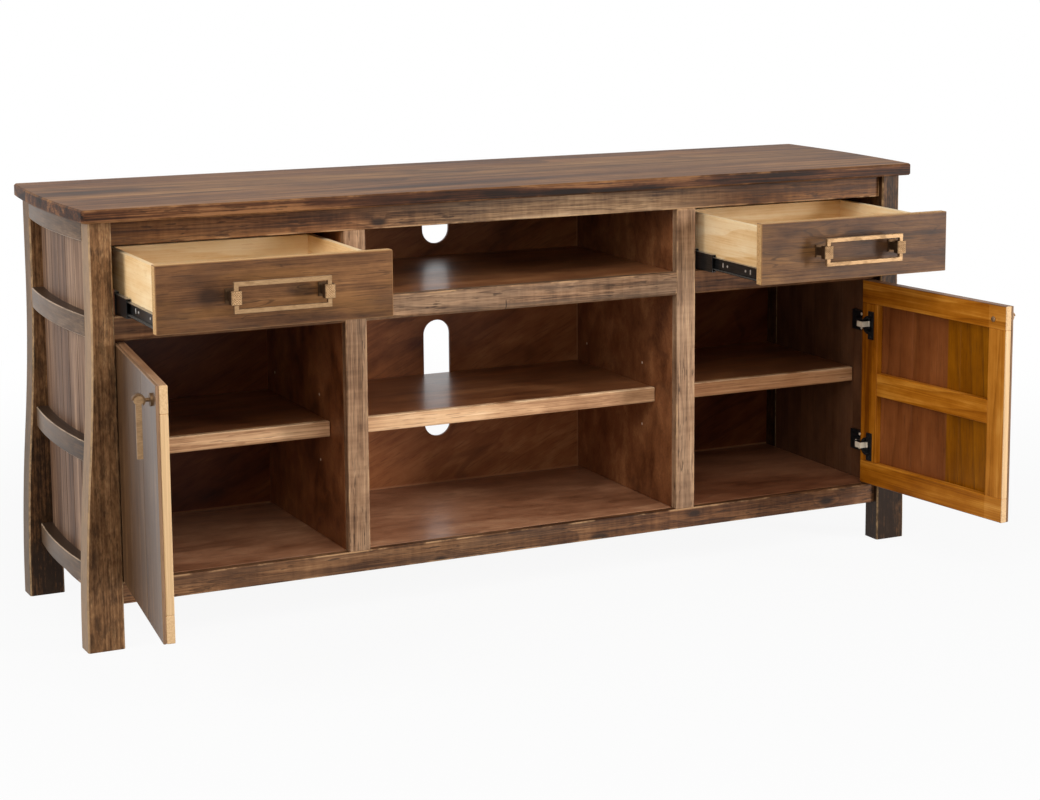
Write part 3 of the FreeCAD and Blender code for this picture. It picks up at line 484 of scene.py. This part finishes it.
def birch_finish(name, grain, shift):
    """Pale plain birch of the drawer boxes, with faint yellow figure and a paler upper edge."""
    t = Timber(name, grain, shift, ring=14, pith=(0.4, 0.3), taper=0.1, wander=0.2)
    colour = t.stained(t.tone(0.24, 0.3, 0.3, 0.4, 0.3, gain=1.1), (216, 168, 106), (236, 198, 145),
                       (243, 212, 164), (250, 226, 186))
    colour = t.mix(t.fleck * 0.2, colour, stain(206, 160, 100))
    colour = t.mix(t.facing(t.nz) * 0.5, colour, stain(250, 228, 188))
    rough = 0.55 + (t.fibre - 0.5) * 0.14
    return t.close(colour, rough, t.relief(), 0.0003, 0.25, Specular_IOR_Level=0.3)


def door_skin_finish(name, side, free_edge, width, count):
    """Upright planks: brown and lacquered outside, reddish inside and yellow near the free edge."""
    sign = SIDES[side]
    t = Timber(name, "z", (0.2 * sign, 0.0, 0.1), (DOOR_PIN[side], -sign * DOOR_OPEN),
               ("x", sign * free_edge, sign * width), ring=30, pith=(0.62 * sign, 0.06), taper=0.07, wander=0.05)
    tone = t.tone(0.1, 0.4, 0.4, 0.3, 0.2)
    calm = t.tone(0.08, 0.2, 0.14, 0.3, 0.3)
    from_edge = t.plain("ABSOLUTE", t.x) - free_edge
    outer = t.stained(tone, (42, 25, 12), (68, 46, 28), (86, 61, 39), (120, 90, 63))
    wash = t.band(t.noise(t.run, (1.6, 20.0, 20.0), 3.0, 0.6, seed=6.6), 0.46, 0.62)
    outer = t.mix(wash * 0.25, outer, stain(96, 78, 62))
    shade = t.ramp(t.luck, [(0.0, stain(222, 210, 202)), (1.0, stain(255, 250, 244))])
    outer = t.mix(0.5, outer, shade, "MULTIPLY")
    reddish = t.stained(calm, (80, 38, 12), (114, 62, 28), (130, 74, 36), (152, 94, 52))
    yellow = t.stained(calm, (84, 42, 0), (122, 69, 2), (140, 83, 5), (172, 112, 20))
    inner = t.mix(t.band(from_edge, YELLOW_WIDE - 0.0005, YELLOW_WIDE + 0.0005), yellow, reddish)
    inside = t.band(t.ny, 0.3, 0.7)
    colour = t.mix(inside, outer, inner)
    colour = t.mix(t.line * 0.25, colour, stain(56, 33, 10))
    rim = t.ramp(t.fibre, [(0.3, stain(104, 76, 54)), (0.7, stain(150, 116, 86))])
    ends = t.most(t.band(from_edge, *RIM_BAND), t.band(count * width - from_edge, *RIM_BAND))
    rims = t.most(t.facing(t.nx, *SQUARE_ON) * ends, t.facing(t.nz, *SQUARE_ON))
    colour = t.mix(rims * 0.9, colour, rim)
    colour = t.mix(t.pore * 0.3, colour, stain(52, 34, 20))
    rough = 0.4 + (t.fibre - 0.5) * 0.14
    lacquer = 0.36 - inside * 0.36
    return t.close(colour, rough, t.relief(), 0.0005, 0.3, Specular_IOR_Level=0.1, Coat_Weight=lacquer,
                   Coat_Roughness=0.18)


def honey_finish(name, side, grain, low, high):
    """Honey-coloured frame behind the door planks, brown along the outer edges and raw at the free edge."""
    sign = SIDES[side]
    t = Timber(name, grain, (0.0, 0.3, 0.1), (DOOR_PIN[side], -sign * DOOR_OPEN), ring=30, pith=(0.45, 0.15),
               taper=0.06, wander=0.06)
    tone = t.tone(0.16, 0.4, 0.4, 0.45, 0.3, gain=1.15)
    colour = t.stained(tone, (104, 52, 2), (147, 83, 11), (168, 101, 22), (196, 131, 47))
    from_edge = t.plain("ABSOLUTE", t.x) - low.x
    pale = t.stained(tone, (140, 80, 16), (172, 107, 32), (187, 121, 43), (208, 148, 70))
    colour = t.mix(t.band(from_edge, FRAME_STILE + 0.0005, FRAME_STILE - 0.0005) * 0.75, colour, pale)
    colour = t.mix(t.line * 0.35, colour, stain(112, 58, 6))
    ends = t.facing(t.nz, *SQUARE_ON) * t.most(t.band(high.z - t.z, *RIM_BAND), t.band(t.z - low.z, *RIM_BAND))
    brown = t.stained(tone, (76, 52, 36), (112, 82, 60), (132, 100, 76), (160, 128, 102))
    colour = t.mix(ends * 0.9, colour, brown)
    raw = t.ramp(t.fibre, [(0.3, stain(186, 150, 108)), (0.7, stain(214, 181, 138))])
    free = t.facing(t.nx, *SQUARE_ON) * t.band(from_edge, *RIM_BAND)
    colour = t.mix(free * 0.95, colour, raw)
    rough = 0.42 + (t.fibre - 0.5) * 0.14 + free * 0.2
    return t.close(colour, rough, t.relief(), 0.0004, 0.3, Specular_IOR_Level=0.1)


# Finishes of the metal

def brass_finish(name, shades, patina, side_shade, behind=None):
    """Champagne brass, brushed, with brown patina, and painted shade on the faces that look away from the room and
    behind a depth."""
    t = Timber(name, "x", (0.1, 0.2, 0.3), ring=30, wander=0.02)
    brushed = t.noise(t.run, (60.0, 900.0, 900.0), 2.0, 0.6, seed=3.3)
    aged = t.band(t.noise(t.run, (40.0, 60.0, 60.0), 3.0, 0.6, seed=6.1), 0.46, 0.70)
    colour = t.stained(brushed, *shades)
    colour = t.mix(aged * patina, colour, stain(96, 70, 47))
    # painted shade: faces that don't look to the front, and the stems behind the caps, are darker
    away = t.band(t.ny, -0.9, -0.5)
    if behind is not None:
        away = t.most(away, t.band(t.y, behind, behind + 0.002))
    colour = t.mix(away * side_shade, colour, stain(70, 51, 36))
    rough = 0.5 + aged * 0.14 + (brushed - 0.5) * 0.16
    return t.close(colour, rough, brushed, 0.0001, 0.25, Metallic=1.0)


def steel_finish(name, dark, light, metal, rough_base, upper_highlight=0.0):
    """Zinc-blackened or pale steel with faint rolling marks, and a painted highlight on its upper faces."""
    t = Timber(name, "y", (0.6, 0.1, 0.2), ring=30, wander=0.02)
    rolled = t.noise(t.run, (30.0, 700.0, 700.0), 2.0, 0.6, seed=1.9)
    colour = t.ramp(rolled, [(0.3, dark), (0.75, light)])
    # painted highlight: upward faces, such as the slides' lips, catch the light
    colour = t.mix(t.band(t.nz, 0.6, 0.9) * upper_highlight, colour, stain(168, 164, 156))
    rough = rough_base + (rolled - 0.5) * 0.2
    return t.close(colour, rough, rolled, 0.0001, 0.25, Metallic=metal)


# Finishes on the CAD nodes

slab_low, slab_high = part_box("top_plank_front")
slab_high.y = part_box("top_plank_rear")[1].y
for name, shift, tint in (("front", (0.0, 0.0, 0.0), stain(250, 236, 226)),
                          ("middle", (3.1, 0.4, 0.2), stain(255, 250, 240)),
                          ("rear", (6.7, 0.9, 0.1), stain(238, 214, 200))):
    dress(top_finish(f"top_{name}", shift, tint, (slab_low, slab_high)), f"top_plank_{name}")

# Row, side, painted shade darkening the whole leg, and painted light paling its outer face
LEGS = (("front", "left", -0.03, 0.7), ("front", "right", 0.3, 0.5), ("rear", "left", 0.2, 0.3),
        ("rear", "right", 0.2, 0.3))
for number, (row, side, leg_shade, outer_face_light) in enumerate(LEGS):
    dress(leg_finish(f"leg_{row}_{side}", (number * 1.9, number * 0.3, 0.0), SIDES[side], leg_shade, outer_face_light),
          f"leg_{row}_{side}")

RAIL_SHADES = ((66, 44, 28), (122, 92, 64), (154, 122, 89), (190, 158, 120))
CENTRE_SHADES = ((76, 52, 34), (136, 102, 74), (166, 130, 98), (200, 162, 124))
STILE_SHADES = ((82, 56, 37), (136, 103, 76), (165, 130, 99), (198, 162, 126))
# Painted light and shade along the front rails, as stops from the left end to the right
TOP_RAIL_PAINTED_LIGHT = [(0.0, stain(188, 160, 130)), (0.28, stain(211, 182, 159)), (0.42, stain(255, 255, 255)),
           (0.66, stain(255, 255, 255)), (0.8, stain(196, 165, 130)), (1.0, stain(200, 170, 136))]
LOW_RAIL_PAINTED_LIGHT = [(0.0, stain(202, 179, 163)), (0.45, stain(213, 196, 185)), (0.7, stain(204, 177, 159)),
           (1.0, stain(168, 142, 125))]
TOP_KNOTS = ((-0.317, 0.777, 0.014),)
LOW_KNOTS = ((-0.196, 0.086, 0.012), (0.165, 0.088, 0.018), (0.39, 0.112, 0.014), (0.72, 0.1, 0.015))
RAILS = (("top_rail", RAIL_SHADES, TOP_KNOTS, TOP_RAIL_PAINTED_LIGHT, None), ("centre_rail", CENTRE_SHADES, (), None, -0.046),
         ("bottom_rail", RAIL_SHADES, LOW_KNOTS, LOW_RAIL_PAINTED_LIGHT, None), ("drawer_rails", RAIL_SHADES, (), LOW_RAIL_PAINTED_LIGHT, None))
for number, (name, shades, knots, light_and_shade_stops, split) in enumerate(RAILS):
    low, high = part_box(name)
    paired = name == "drawer_rails"
    if paired:
        low.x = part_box("stile_right")[1].x
    dress(case_finish(name, "x", (number * 2.3, 0.2, number * 0.4), (low, high), shades, paired, knots, light_and_shade_stops=light_and_shade_stops,
                      split=split, lively=0.8), name)
for number, side in enumerate(SIDES):
    dress(case_finish(f"stile_{side}", "z", (number * 3.1 + 0.7, 0.1, 0.0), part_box(f"stile_{side}"), STILE_SHADES,
                      grey=0.35, lively=0.55), f"stile_{side}")

FRONT_KNOTS = {"left": ((-0.74, 0.70, 0.022), (-0.575, 0.70, 0.02)),
               "right": ((0.56, 0.735, 0.012),)}
# The right drawer front's stain is a little darker: painted shade of the dimmer right side
FRONT_SHADES = {"left": ((46, 26, 13), (84, 54, 31), (108, 72, 43), (142, 100, 62)),
                "right": ((40, 24, 12), (77, 49, 28), (101, 69, 41), (137, 99, 62))}
leaf_low, leaf_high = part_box("door_planks_right")
hinge_edge = DOOR_PIN["right"].x + PIN_IN
free_edge = hinge_edge - DOOR_WIDE
leaf_low.x, leaf_high.x = free_edge, hinge_edge
for side, sign in SIDES.items():
    dress(drawer_finish(f"drawer_front_{side}", (sign * 1.7, 0.0, 0.3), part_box(f"drawer_front_{side}"),
                        FRONT_KNOTS[side], FRONT_SHADES[side]), f"drawer_front_{side}")
    dress(door_skin_finish(f"door_skin_{side}", side, free_edge, DOOR_WIDE / PLANK_COUNT, PLANK_COUNT),
          f"door_planks_{side}")
    dress(honey_finish(f"door_rail_{side}", side, "x", leaf_low, leaf_high), f"door_rails_{side}")
    dress(honey_finish(f"door_stile_{side}", side, "z", leaf_low, leaf_high), f"door_stiles_{side}")

stave_low, stave_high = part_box("staves_right")
stave_wide = (stave_high.y - stave_low.y) / STAVE_COUNT
dress(stave_finish("staves", stave_low.y, stave_wide), "staves_left", "staves_right")
dress(hoop_finish("hoops"), "hoops_left", "hoops_right")
VENEER_SHADES = ((74, 38, 18), (122, 74, 43), (144, 92, 56), (178, 122, 78))
PALE_SHADES = ((104, 63, 40), (150, 101, 71), (172, 122, 89), (199, 150, 113))
BACK_SHADES = ((96, 50, 25), (142, 84, 47), (164, 103, 61), (194, 132, 84))
dress(veneer_finish("veneer_upright", "z", (0.0, 0.1, 0.2), VENEER_SHADES, 0.0, 0.5, 0.4), "partition_left",
      "partition_right")
dress(veneer_finish("veneer_deck", "x", (1.0, 0.0, 0.3), PALE_SHADES, 1.0, 0.1, right_cupboard_shade=0.8), "deck")
dress(veneer_finish("veneer_upper", "x", (4.0, 0.1, 0.1), VENEER_SHADES, 1.0), "upper_shelf", "drawer_dividers",
      "slide_battens")
dress(veneer_finish("veneer_shelf", "x", (7.0, 0.2, 0.1), VENEER_SHADES, 1.0), "shelf_centre", "side_shelves")
bay_wall, bay_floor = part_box("stile_right")[0].x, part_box("deck")[1].z
dress(veneer_finish("veneer_back", "x", (2.0, 0.3, 0.2), BACK_SHADES, 0.0, 0.45, 0.3, 0.08, (bay_wall, bay_floor)),
      "back_panel")
lip_low, lip_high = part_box("shelf_lips")
dress(lip_finish("lips", (0.3, 0.2, 0.1), lip_low.z, lip_high.z), "shelf_lips")
dress(birch_finish("birch_long", "y", (0.0, 0.1, 0.2)), "drawer_sides_left", "drawer_sides_right")
dress(birch_finish("birch_cross", "x", (1.3, 0.3, 0.1)), "drawer_back_left", "drawer_back_right",
      "drawer_tray_left", "drawer_tray_right")

BRASS_SHADES = ((112, 86, 60), (138, 109, 78), (156, 126, 93), (184, 154, 120))
DARK_BRASS_SHADES = ((70, 52, 37), (98, 74, 52), (124, 97, 69), (160, 132, 98))
loop_brass = brass_finish("loop_brass", BRASS_SHADES, 0.3, 0.0)
post_brass = brass_finish("post_brass", BRASS_SHADES, 0.35, 0.9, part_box("pull_posts_left")[0].y + CAP_DEEP)
screw_brass = brass_finish("screw_brass", BRASS_SHADES, 0.5, 0.0)
dark_brass = brass_finish("dark_brass", DARK_BRASS_SHADES, 0.6, 0.0)
black_zinc = steel_finish("black_zinc", stain(20, 20, 21), stain(50, 50, 52), 0.5, 0.36)
slide_zinc = steel_finish("slide_zinc", stain(22, 22, 23), stain(62, 61, 60), 0.6, 0.34, 0.7)
pale_steel = steel_finish("pale_steel", stain(226, 207, 180), stain(248, 234, 212), 0.1, 0.42)
bright_zinc = steel_finish("bright_zinc", stain(214, 212, 206), stain(242, 240, 234), 0.7, 0.3)
for side in SIDES:
    dress(loop_brass, f"pull_loop_{side}", f"grip_bar_{side}")
    dress(post_brass, f"pull_posts_{side}")
    dress(dark_brass, f"grip_mount_{side}")
    dress(slide_zinc, f"slide_carriers_{side}", f"slide_runners_{side}")
    dress(black_zinc, f"hinge_cups_{side}")
dress(slide_zinc, "slide_outers")
dress(black_zinc, "hinge_arms")
dress(pale_steel, "hinge_links", "shelf_pegs")


# Fittings, each made at the origin looking up and then copied to its places

def seat(outward, centre):
    """The turn and move that bring a fitting from the origin to its place."""
    return Matrix.Translation(centre) @ Vector(outward).to_track_quat("Z", "Y").to_matrix().to_4x4()


def with_door(side, place):
    """A place on a shut door, carried to where the open door has it."""
    pin = DOOR_PIN[side]
    turn = Matrix.Rotation(SIDES[side] * DOOR_OPEN, 4, "Z")
    return Matrix.Translation(pin) @ turn @ Matrix.Translation(-pin) @ place


def fit(name, fitting, places, body, finish):
    """Copies a fitting to its places as one piece of a body."""
    single = bpy.data.meshes.new(name + "_one")
    bmesh.ops.recalc_face_normals(fitting, faces=fitting.faces)
    fitting.to_mesh(single)
    fitting.free()
    joined = bmesh.new()
    for place in places:
        count = len(joined.verts)
        joined.from_mesh(single)
        joined.verts.ensure_lookup_table()
        bmesh.ops.transform(joined, matrix=place, verts=joined.verts[count:])
    bpy.data.meshes.remove(single)
    mesh = bpy.data.meshes.new(name)
    joined.to_mesh(mesh)
    joined.free()
    mesh.materials.append(finish)
    piece = bpy.data.objects.new(name, mesh)
    bpy.context.scene.collection.objects.link(piece)
    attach(piece, body)


def close_below(fitting):
    """Walls from the open rim straight down to the floor, and a floor."""
    rim = [edge for edge in fitting.edges if edge.is_boundary]
    wall = bmesh.ops.extrude_edge_only(fitting, edges=rim)["geom"]
    foot = [part for part in wall if isinstance(part, bmesh.types.BMVert)]
    bmesh.ops.scale(fitting, vec=(1.0, 1.0, 0.0), verts=foot)
    bmesh.ops.contextual_create(fitting, geom=[part for part in wall if isinstance(part, bmesh.types.BMEdge)
                                               and part.is_boundary])


def cross_head(radius):
    """A domed screw head with a cross recess, made with a radius of 1 and then scaled."""
    crown, fall, recess = 0.55, 0.2, 0.3
    head = bmesh.new()
    bmesh.ops.create_grid(head, x_segments=7, y_segments=7, size=1.0)
    cross = []
    for face in head.faces:
        middle = face.calc_center_median()
        near, far = sorted((abs(middle.x), abs(middle.y)))
        if near < 0.1 and far < 0.7:
            cross.append(face)
    for vert in head.verts:
        u, v = vert.co.x, vert.co.y
        vert.co = (u * math.sqrt(1 - v * v / 2), v * math.sqrt(1 - u * u / 2), crown - fall * max(u * u, v * v))
    sunk = bmesh.ops.extrude_face_region(head, geom=cross)["geom"]
    floor = [part for part in sunk if isinstance(part, bmesh.types.BMVert)]
    bmesh.ops.translate(head, vec=(0.0, 0.0, -recess), verts=floor)
    close_below(head)
    bmesh.ops.scale(head, vec=(radius, radius, radius), verts=head.verts)
    return head


def knurled_plate(width, height, pitch, rise):
    """Rows of small pyramids, laid diagonally and cut to an oblong."""
    plate = bmesh.new()
    count = math.ceil(1.5 * max(width, height) / pitch)
    bmesh.ops.create_grid(plate, x_segments=count, y_segments=count, size=count * pitch / 2,
                          matrix=Matrix.Translation((0.0, 0.0, rise / 4)) @ Matrix.Rotation(math.pi / 4, 4, "Z"))
    bmesh.ops.poke(plate, faces=plate.faces, offset=rise)
    for x, y in ((1.0, 0.0), (-1.0, 0.0), (0.0, 1.0), (0.0, -1.0)):
        edge = (x * width / 2, y * height / 2, 0.0)
        bmesh.ops.bisect_plane(plate, geom=[*plate.verts, *plate.edges, *plate.faces], plane_co=edge,
                               plane_no=(x, y, 0.0), clear_outer=True)
    close_below(plate)
    return plate


def rounded_tab(width, height, rise):
    """A thin tab with round corners and an eased rim."""
    tab = bmesh.new()
    bmesh.ops.create_cube(tab, size=1.0, matrix=Matrix.Diagonal((width, height, rise, 1.0)))
    bmesh.ops.translate(tab, vec=(0.0, 0.0, rise / 2), verts=tab.verts)
    upright = [edge for edge in tab.edges if abs(edge.verts[0].co.z - edge.verts[1].co.z) > rise / 2]
    bmesh.ops.bevel(tab, geom=upright, offset=min(width, height) * 0.45, segments=4, profile=0.5, affect="EDGES",
                    material=-1)
    upper = [edge for edge in tab.edges if all(vert.co.z > rise * 0.9 for vert in edge.verts)]
    bmesh.ops.bevel(tab, geom=upper, offset=rise * 0.4, segments=2, profile=0.5, affect="EDGES", material=-1)
    return tab


def peg_socket(radius, rise):
    """A turned sleeve for a shelf peg: a low rim round a sunk middle."""
    sleeve = bmesh.new()
    bmesh.ops.create_circle(sleeve, cap_ends=True, radius=radius, segments=20,
                            matrix=Matrix.Translation((0.0, 0.0, rise)))
    bmesh.ops.inset_region(sleeve, faces=sleeve.faces, thickness=radius * 0.3)
    centre = min(sleeve.faces, key=lambda face: face.calc_center_median().xy.length)
    bmesh.ops.translate(sleeve, vec=(0.0, 0.0, -rise * 0.7), verts=centre.verts)
    close_below(sleeve)
    return sleeve


KNURL_EDGE, KNURL_PITCH, KNURL_RISE = 0.0015, 0.0032, 0.0009
for side in SIDES:
    low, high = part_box(f"pull_posts_{side}")
    caps = [Vector((x, low.y, (low.z + high.z) / 2)) for x in (low.x + CAP_WIDE / 2, high.x - CAP_WIDE / 2)]
    knurls = knurled_plate(CAP_WIDE - 2 * KNURL_EDGE, CAP_HIGH - 2 * KNURL_EDGE, KNURL_PITCH, KNURL_RISE)
    fit(f"knurled_caps_{side}", knurls, [seat((0.0, -1.0, 0.0), cap) for cap in caps], f"{side}_drawer",
        loop_brass)

links_low, links_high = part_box("hinge_links")
LINK_HIGH, PLATE_THICK, ARM_DEEP = 0.012, 0.006, 0.013
PLATE_SCREW_BACK, PLATE_SCREW_UP, ARM_SCREW_BACK = 0.022, 0.0155, 0.026
ARM_SCREW, EAR_SCREW, GRIP_SCREW = 0.0034, 0.0032, 0.0056
LEVELS = (links_low.z + LINK_HIGH / 2, links_high.z - LINK_HIGH / 2)
arms_low, arms_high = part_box("hinge_arms")
arm_screws = [seat((-sign, 0.0, 0.0), (sign * (arms_high.x - inset), arms_low.y + back, level + lift))
              for sign in SIDES.values() for level in LEVELS
              for inset, back, lift in ((PLATE_THICK, PLATE_SCREW_BACK, PLATE_SCREW_UP),
                                        (PLATE_THICK, PLATE_SCREW_BACK, -PLATE_SCREW_UP),
                                        (ARM_DEEP, ARM_SCREW_BACK, 0.0))]
fit("hinge_arm_screws", cross_head(ARM_SCREW), arm_screws, "case", pale_steel)

EAR_IN, EAR_FACE, EAR_UP, DOOR_BACK = 0.020, 0.0123, 0.024, 0.0108
for side, sign in SIDES.items():
    pin = DOOR_PIN[side]
    ears = [with_door(side, seat((0.0, 1.0, 0.0), (pin.x - sign * EAR_IN, pin.y + EAR_FACE, level + up)))
            for level in LEVELS for up in (EAR_UP, -EAR_UP)]
    fit(f"hinge_ear_screws_{side}", cross_head(EAR_SCREW), ears, f"{side}_door", black_zinc)
    grip = Vector(JOINTS[f"{side}_grip_swing"]["pos_m"])
    shut = Matrix.Rotation(-sign * DOOR_OPEN, 4, "Z") @ (grip - pin)
    back = with_door(side, seat((0.0, 1.0, 0.0), (pin.x + shut.x, pin.y + DOOR_BACK, grip.z)))
    fit(f"grip_screw_{side}", cross_head(GRIP_SCREW), [back], f"{side}_door", screw_brass)

TAB_RISE = 0.0005
# Shape, width and height, and places along the drawer member
RUNNER_MARKS = (("slots", (0.0036, 0.0105), (0.0505, 0.161)), ("dots", (0.0054, 0.0054), (0.070, 0.143)))
for side in SIDES:
    low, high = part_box(f"drawer_sides_{side}")
    runner_low, runner_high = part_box(f"slide_runners_{side}")
    level = (runner_low.z + runner_high.z) / 2
    for shape, size, spots in RUNNER_MARKS:
        tabs = [seat((way, 0.0, 0.0), (wall + way * SKIN, runner_low.y + spot, level))
                for wall, way in ((low.x, -1.0), (high.x, 1.0)) for spot in spots]
        fit(f"runner_{shape}_{side}", rounded_tab(*size, TAB_RISE), tabs, f"{side}_drawer",
            bright_zinc)

SOCKET_STEP, SOCKET_RADIUS, SOCKET_RISE = 0.067, 0.0028, 0.0005
peg_low, peg_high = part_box("shelf_pegs")
peg_level = (peg_low.z + peg_high.z) / 2
PEG_RADIUS = (peg_high.z - peg_low.z) / 2
stile_in, stile_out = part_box("stile_right")[0].x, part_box("stile_right")[1].x
sockets = [seat((-way * sign, 0.0, 0.0), (sign * wall, y, peg_level + step))
           for sign in SIDES.values() for wall, way in ((stile_in, 1.0), (stile_out, -1.0))
           for y in (peg_low.y + PEG_RADIUS, peg_high.y - PEG_RADIUS) for step in (SOCKET_STEP, -SOCKET_STEP)]
fit("peg_sockets", peg_socket(SOCKET_RADIUS, SOCKET_RISE), sockets, "case", pale_steel)


# Studio

FLOOR_HALF, FLOOR_WHITE, SKY_LEVEL = 60, 0.92, 0.2
# Name, place, aim, size and watts
LAMPS = (("side_softbox", (3.9, -3.7, 1.2), (-0.1, 0.2, 0.45), (1.1, 2.0), 215),
         ("near_fill", (-2.2, -3.6, 1.6), (0.1, 0.2, 0.4), (2.0, 1.8), 15),
         ("front_softbox", (-0.6, -2.9, 3.3), (0.0, 0.1, 0.2), (3.6, 2.4), 108),
         ("left_softbox", (-3.6, -0.6, 1.9), (-0.8, 0.1, 0.5), (2.0, 2.0), 72))
PHOTO_WIDE, FOCAL_PIXELS, SENSOR_WIDE = 1040, 2396.64, 36.0
EYE, YAW, PITCH, ROLL = Vector((-2.04506, -4.33057, 1.37034)), 0.49724, -0.16293, 0.00214
SHIFT = (-0.13, -0.09)


def studio_floor():
    """A wide pale floor, white to the camera far from the stand, that keeps the stand's soft shadow."""
    mesh = bpy.data.meshes.new("studio_floor")
    grid = bmesh.new()
    bmesh.ops.create_grid(grid, x_segments=8, y_segments=8, size=FLOOR_HALF)
    grid.to_mesh(mesh)
    grid.free()
    floor = bpy.data.objects.new("studio_floor", mesh)
    bpy.context.scene.collection.objects.link(floor)
    f = Finish("studio_floor")
    place = f.add("ShaderNodeTexCoord", out="Object")
    away = f.add("ShaderNodeVectorMath", {"operation": "LENGTH"}, {0: place}, out="Value")
    white = f.add("ShaderNodeEmission", None, {"Color": (1.0, 1.0, 1.0, 1.0), "Strength": 1.0})
    matt = f.add("ShaderNodeBsdfDiffuse", None, {"Color": (0.6, 0.6, 0.6, 1.0)})
    share = f.seen() * (FLOOR_WHITE + f.band(away, 1.0, 3.0) * (1.0 - FLOOR_WHITE))
    surface = f.add("ShaderNodeMixShader", None, {0: share, 1: matt, 2: white})
    f.add("ShaderNodeOutputMaterial", None, {"Surface": surface})
    mesh.materials.append(f.material)


def studio_sky(level):
    """White to the camera, mirrors and glass; a plain soft level of light for everything else."""
    world = bpy.data.worlds.new("studio_sky")
    bpy.context.scene.world = world
    sky = Shading(world)
    light = sky.add("ShaderNodeBackground", None, {"Color": (1.0, 1.0, 1.0, 1.0),
                                                   "Strength": level + sky.seen() * (1.0 - level)})
    sky.add("ShaderNodeOutputWorld", None, {"Surface": light})


def studio_lamp(name, place, aim, size, power):
    """An oblong softbox at a place, turned to its aim; power in watts."""
    lamp = bpy.data.lights.new(name, "AREA")
    lamp.shape = "RECTANGLE"
    lamp.size, lamp.size_y = size
    lamp.energy = power
    holder = bpy.data.objects.new(name, lamp)
    holder.location = place
    holder.rotation_euler = (Vector(aim) - Vector(place)).to_track_quat("-Z", "Y").to_euler()
    bpy.context.scene.collection.objects.link(holder)


def photo_camera(eye, yaw, pitch, roll):
    """The photograph's camera: left of the middle, above the top, with a small shift of its picture."""
    ahead = Vector((math.sin(yaw) * math.cos(pitch), math.cos(yaw) * math.cos(pitch), math.sin(pitch)))
    right = ahead.cross(Vector((0.0, 0.0, 1.0))).normalized()
    up = right.cross(ahead)
    right, up = right * math.cos(roll) + up * math.sin(roll), up * math.cos(roll) - right * math.sin(roll)
    lens = bpy.data.cameras.new("photo_camera")
    lens.sensor_width = SENSOR_WIDE
    lens.lens = FOCAL_PIXELS / PHOTO_WIDE * SENSOR_WIDE
    lens.shift_x, lens.shift_y = SHIFT
    lens.clip_end = 200.0
    camera = bpy.data.objects.new("photo_camera", lens)
    camera.matrix_world = Matrix.Translation(eye) @ Matrix((right, up, -ahead)).transposed().to_4x4()
    bpy.context.scene.collection.objects.link(camera)
    bpy.context.scene.camera = camera


studio_floor()
studio_sky(SKY_LEVEL)
for lamp in LAMPS:
    studio_lamp(*lamp)
photo_camera(EYE, YAW, PITCH, ROLL)
bpy.context.scene.view_settings.view_transform = "Standard"
